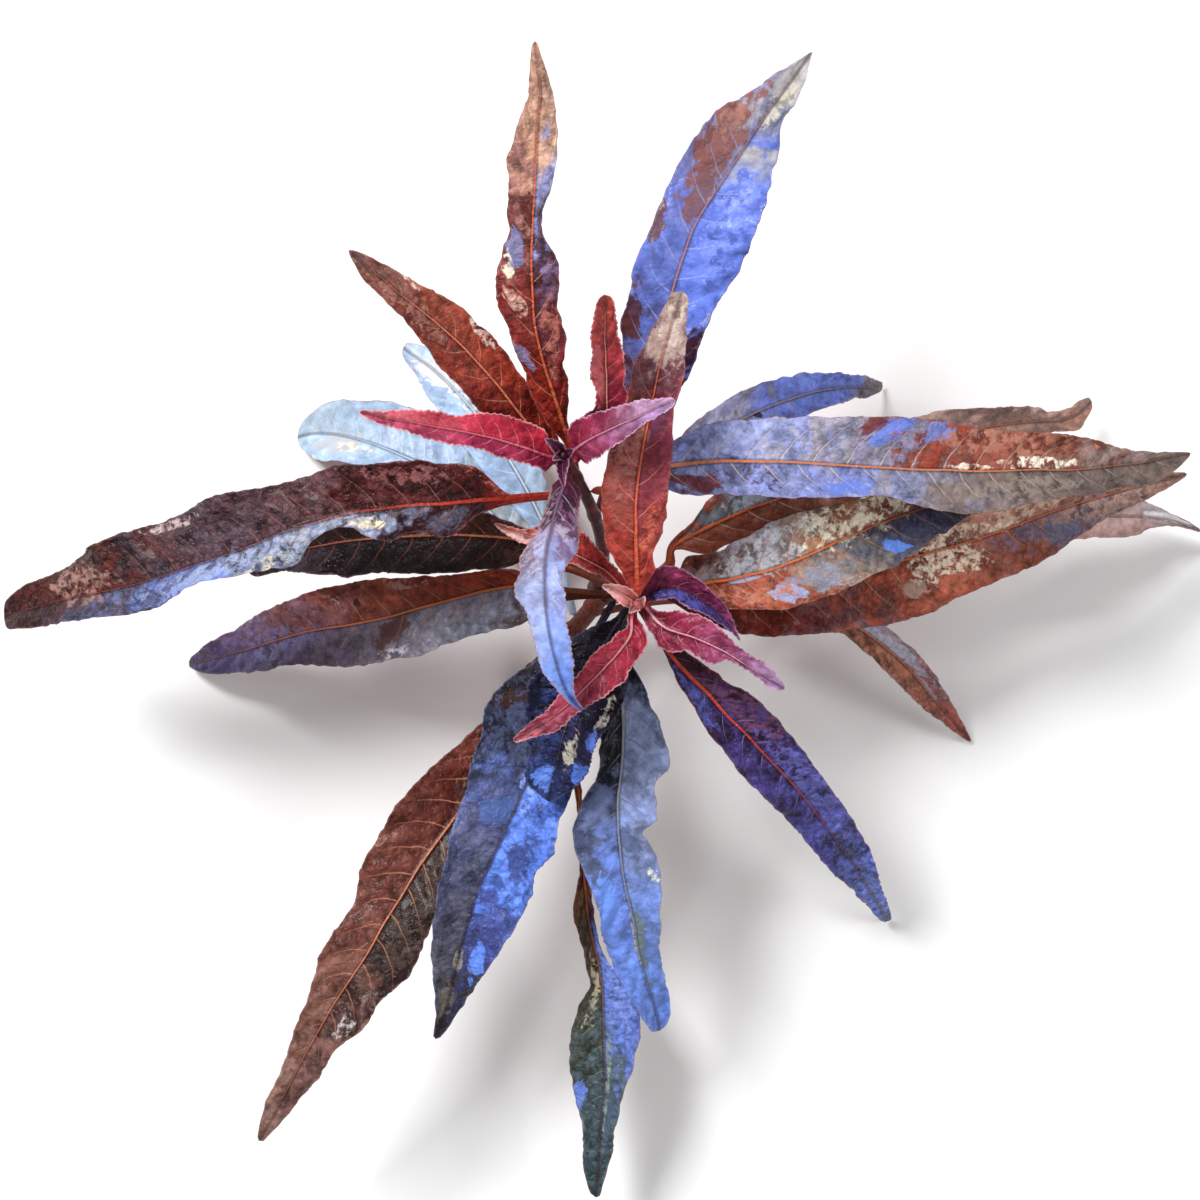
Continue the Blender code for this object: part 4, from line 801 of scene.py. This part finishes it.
        gloss=[(0.17, -0.6, 0.08, 0.3, "#5456A0"), (0.26, 0.5, 0.1, 0.4, "#6E4468"),
               (0.45, 0.5, 0.1, 0.5, "#6264AC")]),
    "crumpled": Skin(
        left=[(0, "#120E12"), (0.4, "#1C1626"), (0.7, "#242240"), (1, "#28305A")],
        right=[(0, "#100C10"), (0.4, "#181A2C"), (0.7, "#20264A"), (1, "#2E3C70")],
        rib="#4A4460", vein="#4A4A6E", rim="#4A4A70", rib_end=0.9, crinkle=1.4,
        bloom=[(0.9, -0.3, 0.07, 0.4, "#6890F0"), (0.8, 0.75, 0.04, 0.25, "#5C80E4"),
               (0.62, 0.8, 0.05, 0.2, "#5878D8")],
        gloss=[(0.75, 0.35, 0.09, 0.2, "#D8D4C4"), (0.5, 0.75, 0.07, 0.12, "#F0ECE0"),
               (0.6, -0.3, 0.15, 0.4, "#303C74"), (0.3, 0.2, 0.1, 0.5, "#2C2840")]),
    "right_glossy": Skin(
        left=[(0, "#5A2A20"), (0.14, "#6A3426"), (0.24, "#8A7474"), (0.36, "#8E8E9C"), (0.47, "#94847C"),
              (0.6, "#9A6A4E"), (0.78, "#8A5C4A"), (0.88, "#5A4A4E"), (0.94, "#3A3C4C"), (1, "#26262E")],
        right=[(0, "#5A2A20"), (0.12, "#702C1E"), (0.3, "#964632"), (0.42, "#9C5440"), (0.5, "#94705E"),
               (0.6, "#76706E"), (0.7, "#545464"), (0.84, "#40425C"), (1, "#26262E")],
        rib="#D86830", vein="#BC8062", crinkle=0.9,
        bloom=[(0.4, -0.65, 0.04, 0.2, "#A4A8CC"), (0.34, -0.1, 0.05, 0.08, "#A8A8C8"),
               (0.72, -0.6, 0.025, 0.25, "#5C88E0"), (0.5, -0.5, 0.06, 0.3, "#8C8C9C")],
        gloss=[(0.64, 0.5, 0.17, 0.55, "#FCF4DC"), (0.38, 0.4, 0.12, 0.5, "#B4B4BE"),
               (0.3, -0.55, 0.1, 0.3, "#B4725C")]),
    "right_long": Skin(
        left=[(0, "#5E241A"), (0.25, "#84382A"), (0.42, "#9A5A48"), (0.55, "#B08472"), (0.7, "#AC7C6A"),
              (0.8, "#96685A"), (0.9, "#8A6860"), (1, "#7A625A")],
        right=[(0, "#5E241A"), (0.2, "#7A2A1C"), (0.3, "#7C5054"), (0.4, "#8E4636"), (0.52, "#A4543E"),
               (0.64, "#985848"), (0.72, "#746074"), (0.8, "#846C6A"), (0.9, "#8A6A62"), (1, "#7A5A50")],
        rib="#D46434", vein="#C08C70", rib_end=1.0, crinkle=0.9,
        bloom=[(0.46, -0.5, 0.02, 0.15, "#B89888"), (0.73, -0.6, 0.03, 0.3, "#686880")],
        gloss=[(0.54, -0.3, 0.065, 0.3, "#F8E8D0"), (0.57, 0.3, 0.14, 0.35, "#F4E0CC"),
               (0.68, 0.55, 0.1, 0.4, "#D8B49C"), (0.85, -0.2, 0.1, 0.6, "#A4857C")]),
    "right_back": Skin(
        left=[(0, "#A0503A"), (0.15, "#A0503A"), (0.2, "#6A7A84"), (0.4, "#7A7A80"), (0.6, "#9C8078"),
              (0.9, "#A07E74"), (1, "#9A6E60")],
        right=[(0, "#A0503A"), (0.15, "#94503E"), (0.3, "#7A4A3A"), (0.5, "#8A6A60"), (0.75, "#A08478"),
               (1, "#9A6E60")],
        rib="#C8643C", vein="#B89888", crinkle=0.6,
        gloss=[(0.3, 0.4, 0.06, 0.4, "#A8B8C8")]),
    "right_far": Skin(
        left=[(0, "#A0503A"), (0.3, "#9A7068"), (0.7, "#B08A82"), (1, "#8E8A8E")],
        right=[(0, "#A0503A"), (0.3, "#9A7068"), (0.7, "#B8928A"), (1, "#96868A")],
        rib="#B88878", vein="#C0A098", crinkle=0.4,
        bloom=[(0.94, 0.2, 0.04, 0.4, "#C8C4C8")]),
    "left_dark": Skin(
        left=[(0, "#6A3024"), (0.2, "#2E1A18"), (0.6, "#1E1618"), (1, "#2A2028")],
        right=[(0, "#4A2018"), (0.2, "#361812"), (0.6, "#2A1612"), (1, "#221618")],
        rib="#B06040", vein="#8A4A34",
        gloss=[(0.24, 0.5, 0.08, 0.5, "#5A3A2E"), (0.5, -0.5, 0.1, 0.3, "#42302C")]),
    "left_low": Skin(
        left=[(0, "#4A2018"), (0.14, "#6A5A5E"), (0.24, "#8A90A4"), (0.4, "#7A7480"), (0.6, "#625468"),
              (0.8, "#544A70"), (1, "#3A3054")],
        right=[(0, "#4A2018"), (0.2, "#86341F"), (0.5, "#7E3E2E"), (0.66, "#704448"), (0.78, "#5E4A66"),
               (0.9, "#4C3C5C"), (1, "#3A3054")],
        rib="#C06A3C", vein="#9A6A54", rib_end=0.9, crinkle=0.8,
        bloom=[(0.53, -0.5, 0.012, 0.12, "#120A0C"), (0.47, 0.3, 0.03, 0.4, "#5A3A36")],
        gloss=[(0.45, 0.85, 0.03, 0.15, "#C0BEC8"), (0.4, -0.8, 0.04, 0.15, "#A07870"),
               (0.75, 0.2, 0.1, 0.5, "#66608C")]),
    "bottom_blue": Skin(
        left=[(0, "#1C1418"), (0.2, "#16141E"), (0.32, "#262A44"), (0.42, "#4460B8"), (0.5, "#6488EC"),
              (0.66, "#6488EC"), (0.71, "#4A58A0"), (0.8, "#424A84"), (0.9, "#38364C"), (1, "#2A2428")],
        right=[(0, "#1C1418"), (0.14, "#2A1A18"), (0.22, "#22222E"), (0.34, "#34384E"), (0.42, "#3E4464"),
               (0.48, "#50609A"), (0.56, "#50547A"), (0.7, "#52546C"), (0.86, "#4C4C58"), (0.94, "#3E3634"),
               (1, "#2E2624")],
        rib="#46405A", vein="#565C86", rim="#8C9CC8", rib_end=0.8, crinkle=0.95,
        bloom=[(0.82, 0.6, 0.035, 0.3, "#6890F4"), (0.52, -0.3, 0.03, 0.3, "#4C629E"),
               (0.6, 0.5, 0.03, 0.3, "#3E4C88"), (0.17, -0.3, 0.04, 0.3, "#4A241C"),
               (0.3, -0.6, 0.03, 0.3, "#3E2822")],
        gloss=[(0.84, 0.05, 0.03, 0.15, "#8E857C"), (0.28, 0.3, 0.1, 0.4, "#3E4870"),
               (0.44, 0.1, 0.07, 0.2, "#86A2F0"), (0.93, -0.2, 0.04, 0.5, "#70665E"),
               (0.36, -0.5, 0.1, 0.4, "#4A5272")]),
    "right_low": Skin(
        left=[(0, "#8A5240"), (0.5, "#A8A4B4"), (0.7, "#A89098"), (0.85, "#A05A50"), (1, "#94443A")],
        right=[(0, "#8A5240"), (0.4, "#A8705C"), (0.7, "#A8705C"), (1, "#9A4A40")],
        rib="#C87C5C", vein="#C89080",
        bloom=[(0.68, 0.4, 0.1, 0.35, "#B8BCD0"), (0.8, 0.1, 0.05, 0.15, "#B8A8B0")]),
    "upper_left_pale": Skin(
        left=[(0, "#A9C3E0"), (0.5, "#9CB8DC"), (1, "#A8BCD8")],
        right=[(0, "#A8B8CC"), (0.5, "#A9C3E0"), (1, "#C0D0E4")],
        rib="#C8D4E4", vein="#C8D8EC", crinkle=0.3,
        bloom=[(0.88, 0.1, 0.08, 0.5, "#D8D8DC"), (0.66, -0.2, 0.03, 0.25, "#9A8888")],
        gloss=[(0.75, -0.3, 0.08, 0.5, "#E0E4EC")]),
    "left_pale": Skin(
        left=[(0, "#B8B8B4"), (0.5, "#A4C0E4"), (1, "#B4C8E0")],
        right=[(0, "#C8C8C0"), (0.35, "#A8B4B8"), (0.5, "#9AB4D8"), (1, "#A8B8C8")],
        rib="#B8CCE4", vein="#C8D4E4", crinkle=0.3,
        bloom=[(0.86, 0.3, 0.07, 0.4, "#B8BCC4")],
        gloss=[(0.8, 0.35, 0.05, 0.2, "#E8DCC8"), (0.4, -0.5, 0.08, 0.5, "#88A0B0")]),
    "bottom_left": Skin(
        left=[(0, "#4A1A14"), (0.25, "#40201A"), (0.42, "#3A2824"), (0.62, "#302222"), (0.7, "#4A302C"),
              (0.84, "#6E4C46"), (1, "#7A5C56")],
        right=[(0, "#5A1E16"), (0.3, "#5E2A22"), (0.6, "#683A32"), (0.8, "#785248"), (1, "#84665E")],
        rib="#D07858", vein="#C48468", rim="#B88878", crinkle=0.85,
        bloom=[(0.64, 0.8, 0.04, 0.25, "#241818")],
        gloss=[(0.76, 0.6, 0.02, 0.2, "#B8B0B0"), (0.38, 0.4, 0.12, 0.5, "#44362F"),
               (0.56, 0.5, 0.1, 0.4, "#463833")]),
    "bottom": Skin(
        left=[(0, "#8A4A34"), (0.4, "#74462E"), (0.47, "#5E70B4"), (0.52, "#6A80D0"), (0.7, "#6078C8"),
              (0.78, "#4E5C6C"), (1, "#36484E")],
        right=[(0, "#7A4030"), (0.42, "#6A4430"), (0.55, "#4E4838"), (0.68, "#424840"), (0.8, "#4A5A62"),
               (1, "#36484E")],
        rib="#B0683E", vein="#7E8A88", rib_end=0.75, crinkle=1.1,
        bloom=[(0.8, -0.8, 0.025, 0.2, "#6A84D8"), (0.85, 0.3, 0.04, 0.3, "#4A5C70")],
        gloss=[(0.62, -0.4, 0.06, 0.3, "#C0B89C"), (0.8, 0.15, 0.1, 0.12, "#8A9890"),
               (0.6, 0.5, 0.08, 0.4, "#7E94E4")]),
}


def leaf_tissue(name, skin, leaf, spacing):
    """Living leaf: a glossy, waxy skin over purple flesh, crinkled between a fine net of veins. Its colours
    follow the leaf on either side of the midrib, with ragged edges that run along the side veins."""
    young = leaf.length < YOUNG
    rib_start = 0.4 if young else 0.62  # half the midrib's width at the stalk
    edge_highlight_strength = 0.65 if young else 0.25  # how much of the rim's colour the margin has
    material = bpy.data.materials.new(name)
    material.use_nodes = True
    tree = material.node_tree
    shader = tree.nodes["Principled BSDF"]
    place = add(tree, "ShaderNodeTexCoord").outputs["Object"]
    uv = add(tree, "ShaderNodeUVMap", uv_map="UVMap").outputs["UV"]
    spot = add(tree, "ShaderNodeSeparateXYZ", [uv]).outputs
    on_leaf = add(tree, "ShaderNodeAttribute", attribute_name="on_leaf").outputs["Vector"]
    on_leaf = add(tree, "ShaderNodeSeparateXYZ", [on_leaf]).outputs
    upper = add(tree, "ShaderNodeAttribute", attribute_name="upper").outputs["Fac"]
    across = add(tree, "ShaderNodeMath", [spot["X"], 2.0, -1.0], operation="MULTIPLY_ADD")
    to_margin = add(tree, "ShaderNodeMath", [across], operation="ABSOLUTE")
    beside = add(tree, "ShaderNodeMath", [on_leaf["X"]], operation="ABSOLUTE")
    right = add(tree, "ShaderNodeMath", [on_leaf["X"], 0.0], operation="LESS_THAN")
    # Blotches are about 6 mm wide, spots 2.4 mm and freckles 1 mm. Streaks run along the side veins, three to
    # a vein and 3 mm long.
    blotch = add(tree, "ShaderNodeTexNoise", {"Vector": place, "Scale": 170, "Detail": 4, "Roughness": 0.6})
    mottle = add(tree, "ShaderNodeTexNoise", {"Vector": place, "Scale": 420, "Detail": 3, "Roughness": 0.6})
    freckle = add(tree, "ShaderNodeTexNoise", {"Vector": place, "Scale": 1000, "Detail": 2, "Roughness": 0.6})
    side = add(tree, "ShaderNodeMath", [right, APART, on_leaf["Z"]], operation="MULTIPLY_ADD")
    flow = add(tree, "ShaderNodeCombineXYZ", [side, beside, 0.0])
    streak = add(tree, "ShaderNodeVectorMath", [flow, (3, 0.35, 1)], operation="MULTIPLY")
    streak = add(tree, "ShaderNodeTexNoise", {
        "Vector": streak, "Scale": 1, "Detail": 1, "Roughness": 0.5, "Distortion": 0.5})
    # The colours' borders lean a little less than the side veins do, and break up into ragged islands.
    lean = add(tree, "ShaderNodeMath", [to_margin, to_margin], operation="MULTIPLY")
    lean = add(tree, "ShaderNodeMath", [to_margin, STRAIGHT, lean], operation="MULTIPLY_ADD")
    lean = add(tree, "ShaderNodeMath", [lean, 0.7], operation="SUBTRACT")
    run_on = -0.6 * SLANT * spacing / leaf.length
    along = add(tree, "ShaderNodeMath", [lean, run_on, spot["Y"]], operation="MULTIPLY_ADD")
    wander = add(tree, "ShaderNodeMath", [streak, 0.6, blotch], operation="MULTIPLY_ADD")
    wander = add(tree, "ShaderNodeMath", [wander, 0.8], operation="SUBTRACT")
    island = add(tree, "ShaderNodeMapRange", [blotch, 0.47, 0.53, -0.04, 0.04])
    zone = add(tree, "ShaderNodeMath", [wander, 0.1, along], operation="MULTIPLY_ADD")
    zone = add(tree, "ShaderNodeMath", [zone, island], operation="ADD")
    halves = []
    for stops in (skin.right, skin.left):
        ramp = add(tree, "ShaderNodeValToRGB", [zone])
        elements = ramp.color_ramp.elements
        elements.remove(elements[1])
        for i, (position, colour) in enumerate(stops):
            element = elements[0] if i == 0 else elements.new(position)
            element.position, element.color = position, linear(colour)
        halves.append(ramp)
    left = add(tree, "ShaderNodeMapRange", [spot["X"], 0.495, 0.505, 0.0, 1.0])
    colour = add(tree, "ShaderNodeMix", [left, *halves], data_type="RGBA")
    # The skin puffs up between a crooked net of fine veins 2.2 mm apart, and painted shade darkens it down in
    # the net.
    net = add(tree, "ShaderNodeVectorMath", [place, (450, 450, 450)], operation="MULTIPLY")
    net = add(tree, "ShaderNodeVectorMath", [
        mottle.outputs["Color"], (1.2, 1.2, 1.2), net], operation="MULTIPLY_ADD")
    net = add(tree, "ShaderNodeTexVoronoi", {"Vector": net, "Scale": 1}, feature="DISTANCE_TO_EDGE")
    puff = add(tree, "ShaderNodeMapRange", [net, 0.0, 0.4, 0.0, 1.0], interpolation_type="SMOOTHSTEP")
    # The tone varies at random with the blotches, spots and streaks, and painted shade darkens the hollows of
    # the net.
    shade = add(tree, "ShaderNodeMath", [blotch, mottle], operation="ADD")
    shade = add(tree, "ShaderNodeMath", [streak, 0.12, shade], operation="MULTIPLY_ADD")
    shade = add(tree, "ShaderNodeMath", [puff, 0.15 * skin.crinkle, shade], operation="MULTIPLY_ADD")
    depth = 0.45 * skin.crinkle
    shade = add(tree, "ShaderNodeMapRange", [shade, 0.87, 1.4, 0.85 - depth, 1.15 + depth])
    shade = add(tree, "ShaderNodeCombineColor", [shade, shade, shade])
    colour = add(tree, "ShaderNodeMix", [1.0, colour, shade], data_type="RGBA", blend_type="MULTIPLY")
    # The tints and the painted blue reflection lie in ragged patches, and the painted highlights and
    # reflections of the gloss patches break up into crumbs of about 1.6 mm.
    on_skin = add(tree, "ShaderNodeCombineXYZ", [across, along, 0.0])
    crumb = add(tree, "ShaderNodeTexNoise", {
        "Vector": place, "Scale": 620, "Detail": 3, "Roughness": 0.6, "Distortion": 0.6})
    whole = add(tree, "ShaderNodeMath", [crumb, mottle], operation="ADD")
    whole = add(tree, "ShaderNodeMapRange", [whole, 0.9, 1.08, 0.0, 1.0])
    ragged = add(tree, "ShaderNodeMath", [mottle, 1.4, -0.7], operation="MULTIPLY_ADD")
    ragged = add(tree, "ShaderNodeMath", [wander, 2.2, ragged], operation="MULTIPLY_ADD")
    for patches, strength in ((skin.bloom, 0.9), (skin.gloss, whole)):
        for position, sideways, long, wide, patch in patches:
            near = add(tree, "ShaderNodeVectorMath", [on_skin, (sideways, position, 0)], operation="SUBTRACT")
            near = add(tree, "ShaderNodeVectorMath", [near, (wide, long, 1)], operation="DIVIDE")
            near = add(tree, "ShaderNodeVectorMath", [near], operation="LENGTH").outputs["Value"]
            near = add(tree, "ShaderNodeMath", [near, ragged], operation="ADD")
            near = add(tree, "ShaderNodeMapRange", [near, 0.88, 1.12, 1.0, 0.0])
            near = add(tree, "ShaderNodeMath", [near, strength], operation="MULTIPLY")
            colour = add(tree, "ShaderNodeMix", [near, colour, linear(patch)], data_type="RGBA")
    # Below, the skin is a dull rose.
    below = add(tree, "ShaderNodeMix", [1.0, linear("#9A5A62"), shade], data_type="RGBA", blend_type="MULTIPLY")
    colour = add(tree, "ShaderNodeMix", [upper, below, colour], data_type="RGBA")
    # The fine net is a dark crackle: dark lines along it, with painted shade in its creases. The side veins
    # fade before the margin, and the midrib lies between two thin shadows and fades towards the tip.
    net_line_and_crease_shade = add(tree, "ShaderNodeMapRange", [net, 0.0, 0.08, 0.4 * skin.crinkle, 0.0])
    net_line_and_crease_shade = add(tree, "ShaderNodeMath", [net_line_and_crease_shade, crumb], operation="MULTIPLY")
    colour = add(tree, "ShaderNodeMix", [net_line_and_crease_shade, colour, linear("#2A1012")], data_type="RGBA")
    offset = add(tree, "ShaderNodeMath", [right, 0.5, on_leaf["Z"]], operation="MULTIPLY_ADD")
    offset = add(tree, "ShaderNodeMath", [blotch, 0.3, offset], operation="MULTIPLY_ADD")
    offset = add(tree, "ShaderNodeMath", [offset, 0.5], operation="PINGPONG")
    vein = add(tree, "ShaderNodeMapRange", [offset, 0.012, 0.04, 1.0, 0.0])
    fading = add(tree, "ShaderNodeMapRange", [to_margin, 0.3, 0.95, 0.8, 0.0])
    finer = add(tree, "ShaderNodeMapRange", [spot["Y"], 0.35, 0.85, 1.0, 0.4])
    fading = add(tree, "ShaderNodeMath", [fading, finer], operation="MULTIPLY")
    vein = add(tree, "ShaderNodeMath", [vein, fading], operation="MULTIPLY")
    colour = add(tree, "ShaderNodeMix", [vein, colour, linear(skin.vein)], data_type="RGBA")
    rib_wide = add(tree, "ShaderNodeMapRange", [spot["Y"], 0.0, 0.3, rib_start, rib_start * 0.45])
    taper = add(tree, "ShaderNodeMapRange", [spot["Y"], 0.3, 1.0, 1.0, 0.4])
    rib_wide = add(tree, "ShaderNodeMath", [rib_wide, taper], operation="MULTIPLY")
    shadow_wide = add(tree, "ShaderNodeMath", [rib_wide, 0.5], operation="ADD")
    shadow = add(tree, "ShaderNodeMapRange", [beside, rib_wide, shadow_wide, 0.6, 0.0])
    colour = add(tree, "ShaderNodeMix", [shadow, colour, linear("#1C0C0E")], data_type="RGBA")
    rib_edge = add(tree, "ShaderNodeMath", [rib_wide, 0.6], operation="MULTIPLY")
    # The stalk has the colour in which the left side starts, with little of the midrib's own.
    stalk = add(tree, "ShaderNodeMapRange", [spot["Y"], leaf.stalk, leaf.stalk + 0.05, 1.0, 0.0])
    colour = add(tree, "ShaderNodeMix", [stalk, colour, linear(skin.left[0][1])], data_type="RGBA")
    rib = add(tree, "ShaderNodeMapRange", [beside, rib_edge, rib_wide, 0.95, 0.0])
    off_stalk = add(tree, "ShaderNodeMath", [stalk, -0.8, 1.0], operation="MULTIPLY_ADD")
    rib = add(tree, "ShaderNodeMath", [rib, off_stalk], operation="MULTIPLY")
    worn = add(tree, "ShaderNodeMapRange", [spot["Y"], skin.rib_end - 0.35, skin.rib_end, 1.0, 0.12])
    rib = add(tree, "ShaderNodeMath", [rib, worn], operation="MULTIPLY")
    colour = add(tree, "ShaderNodeMix", [rib, colour, linear(skin.rib)], data_type="RGBA")
    # The margin is a thin pale line, a painted highlight along the edge, which the stalk doesn't have.
    edge = add(tree, "ShaderNodeMath", [beside, to_margin], operation="DIVIDE")
    edge = add(tree, "ShaderNodeMath", [edge, beside], operation="SUBTRACT")
    edge = add(tree, "ShaderNodeMath", [freckle, 0.8, edge], operation="MULTIPLY_ADD")
    edge = add(tree, "ShaderNodeMapRange", [edge, 0.5, 0.8, edge_highlight_strength, 0.0])
    edge = add(tree, "ShaderNodeMath", [edge, stalk], operation="SUBTRACT", use_clamp=True)
    colour = add(tree, "ShaderNodeMix", [edge, colour, linear(skin.rim)], data_type="RGBA")
    # The surface is duller and glossier by turns. It stands up in the puffs, crumbs and freckles, and sinks
    # along the side veins.
    gloss = add(tree, "ShaderNodeMapRange", [mottle, 0.3, 0.7, 0.18, 0.4])
    height = add(tree, "ShaderNodeMath", [puff, 0.4, mottle], operation="MULTIPLY_ADD")
    height = add(tree, "ShaderNodeMath", [crumb, 0.5, height], operation="MULTIPLY_ADD")
    height = add(tree, "ShaderNodeMath", [freckle, 0.4, height], operation="MULTIPLY_ADD")
    height = add(tree, "ShaderNodeMath", [vein, -0.3, height], operation="MULTIPLY_ADD")
    bump = add(tree, "ShaderNodeBump", {"Strength": 0.8 * skin.crinkle, "Distance": 0.7 * MM, "Height": height})
    tree.links.new(colour.outputs["Result"], shader.inputs["Base Color"])
    tree.links.new(gloss.outputs["Result"], shader.inputs["Roughness"])
    tree.links.new(bump.outputs["Normal"], shader.inputs["Normal"])
    shader.inputs["Specular IOR Level"].default_value = 0.14
    shader.inputs["Coat Weight"].default_value = 0.05
    shader.inputs["Coat Roughness"].default_value = 0.1
    return material


for number, leaf in enumerate(LEAVES):
    young = leaf.length < YOUNG
    base, out = leaf_base(leaf)
    name = "leaf_" + leaf.name + "_blade"
    spacing = YOUNG_SPACING if young else PAIR_SPACING
    line, steps = leaf_line(name, leaf, base, out, YOUNG_STEP if young else LEAF_STEP)
    tissue = leaf_tissue("leaf_" + leaf.name + "_tissue", SKINS[leaf.name], leaf, spacing)
    piece = grown(line, leaf_tree, {
        "Steps": steps, "Columns": LEAF_COLUMNS, "Stalk": leaf.stalk, "Stalk thickness": STALK_THICK * MM,
        "Rib thickness": RIB_THIN * MM, "Rib height": RIB_HEIGHT * MM, "Blade thickness": BLADE_THICK * MM,
        "Fold": math.radians(leaf.fold), "Ruffle": leaf.ruffle * MM, "Waves": float(leaf.waves),
        "Phase": math.radians(leaf.phase), "Crumple": leaf.ruffle * CRUMPLE * MM,
        "Vein pairs": leaf.length / spacing, "Quilting": (YOUNG_QUILTING if young else QUILTING) * MM,
        "Scallops": YOUNG_SCALLOP if young else SCALLOP, "Teeth": TOOTH if young else 0.0,
        "Seed": float(number), "Tissue": tissue})
    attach(piece, "root")
    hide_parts("leaf_" + leaf.name)

# Crowns. Each shoot ends in a small round growing tip, and round it stand the youngest leaves, a few
# millimetres long and still folded: dark purple on the tall shoot, pale pink on the low one.
TIP_RADIUS = 1.2
TIP_LIFT = 1.9  # of the tip's middle above the end of its stem
TIP_RINGS = [-2.2, -1.0, -0.4, 0.1, 0.6, 0.95, 1.15, 1.2]  # their heights from that middle
TIP_TOP = 0.02  # the least square of a ring's radius
LEAFLET_STEP = 0.2
LEAFLET_COLUMNS = 16
# A leaflet is given as its heading, its length, half its width and its rise.
Crown = namedtuple("Crown", "bud stem slot leaflets skin")
CROWNS = [
    Crown("tall_bud", TALL, "dark_bud",
          [(132, 6, 1.6, 68), (262, 7, 1.5, 54), (22, 3.2, 1.4, 80), (200, 3.4, 1.3, 78)],
          Skin(left=[(0, "#2A0E18"), (0.6, "#4A1830"), (1, "#7A3A5A")],
               right=[(0, "#260C16"), (0.6, "#3A1228"), (1, "#603050")],
               rib="#6A3048", vein="#5A2840", rim="#B88AA0", crinkle=0.5)),
    Crown("low_bud", LOW, "pale_bud",
          [(143, 8, 2.1, 36), (215, 3.2, 1.3, 76), (45, 3, 1.2, 78)],
          Skin(left=[(0, "#8A3A3A"), (0.4, "#B8686A"), (1, "#E0AAAC")],
               right=[(0, "#7A2E2A"), (0.4, "#A85454"), (1, "#D89A9A")],
               rib="#C07A70", vein="#B87474", rim="#DCB0AA", crinkle=0.5)),
]

for crown in CROWNS:
    stem = next(s for s in STEMS if s.name == crown.stem)
    middle = Vector(stem.end) + Vector((0, 0, TIP_LIFT))
    radii = [stem.radius_end] + [math.sqrt(max(TIP_TOP, TIP_RADIUS**2 - h**2)) for h in TIP_RINGS[1:]]
    line = path_line(crown.bud + "_growing_tip", [middle + Vector((0, 0, h)) for h in TIP_RINGS], radius=radii)
    pieces = [grown(line, stem_tree, {
        "Joints": 0.0, "Swell": 0.0, "Sides": STEM_SIDES,
        "Skin": stem_skin(crown.bud + "_growing_tip", crown.skin.right[0][1], crown.skin.left[1][1])})]
    for number, (heading, length, half, rise) in enumerate(crown.leaflets):
        name = f"{crown.bud}_leaflet_{number + 1}"
        leaflet = Leaf(
            name=name, stem=crown.stem, height=0, heading=heading, bend=20, sway=0, length=length, rise=rise,
            dip=rise - 50, twist=0, fold=0, ruffle=0, waves=1, phase=0, stalk=0.05, slot=crown.slot)
        OUTLINES[name] = [
            (0.12, half * 0.8, half * 0.7, 0), (0.35, half, half, 0), (0.7, half * 0.6, half * 0.7, 0),
            (1, 0.3, 0.3, 0)]
        # It grows out of the tip 0.6 mm from the middle.
        out = Vector((math.cos(math.radians(heading)), math.sin(math.radians(heading)), 0))
        line, steps = leaf_line(name, leaflet, middle + out * 0.6, out * 0.3, LEAFLET_STEP)
        tissue = leaf_tissue(name + "_tissue", crown.skin, leaflet, 1)
        pieces.append(grown(line, leaf_tree, {
            "Steps": steps, "Columns": LEAFLET_COLUMNS, "Stalk": leaflet.stalk, "Stalk thickness": 0.5 * MM,
            "Rib thickness": 0.35 * MM, "Rib height": 0.1 * MM, "Blade thickness": 0.3 * MM,
            "Fold": math.radians(28), "Ruffle": 0.25 * MM, "Waves": 1.0, "Phase": float(number),
            "Crumple": 0.5 * MM, "Vein pairs": length, "Quilting": 0.08 * MM, "Scallops": 0.4, "Teeth": 0.2,
            "Seed": float(number), "Tissue": tissue}))
    for piece in pieces:
        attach(piece, "root")
        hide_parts(crown.bud)

# Floor and light. A pale studio floor, a bright soft surround and a large lamp from the upper left, which
# lays soft shadows to the lower right, with a weak one from the right. The floor lies a little below the
# surface that the plant rests on.
FLOOR_DROP = -0.0005
floor_mesh = bpy.data.meshes.new("floor")
floor_mesh.from_pydata(
    [(x, y, FLOOR_DROP) for x, y in ((-3, -3), (3, -3), (3, 3), (-3, 3))], [], [(0, 1, 2, 3)])
floor = bpy.data.objects.new("floor", floor_mesh)
bpy.context.scene.collection.objects.link(floor)
paper = bpy.data.materials.new("white_paper")
paper.use_nodes = True
paper.node_tree.nodes["Principled BSDF"].inputs["Base Color"].default_value = linear("#F4F4F4")
paper.node_tree.nodes["Principled BSDF"].inputs["Roughness"].default_value = 0.9
floor_mesh.materials.append(paper)

world = bpy.data.worlds.new("surround")
world.use_nodes = True
world.node_tree.nodes["Background"].inputs["Color"].default_value = (1, 1, 1, 1)
world.node_tree.nodes["Background"].inputs["Strength"].default_value = 0.42
bpy.context.scene.world = world
bpy.context.scene.view_settings.view_transform = "Standard"

# Each lamp has a place and a size in metres, and its power in watts.
SOFTBOXES = [("upper_left_softbox", (-0.55, 0.6, 1.0), 0.35, 17), ("right_softbox", (0.8, 0.1, 0.8), 0.4, 3)]
for name, place, size, power in SOFTBOXES:
    lamp = bpy.data.objects.new(name, bpy.data.lights.new(name, "AREA"))
    lamp.data.size = size
    lamp.data.energy = power
    lamp.location = place
    lamp.rotation_euler = Vector(place).to_track_quat("Z", "Y").to_euler()
    bpy.context.scene.collection.objects.link(lamp)
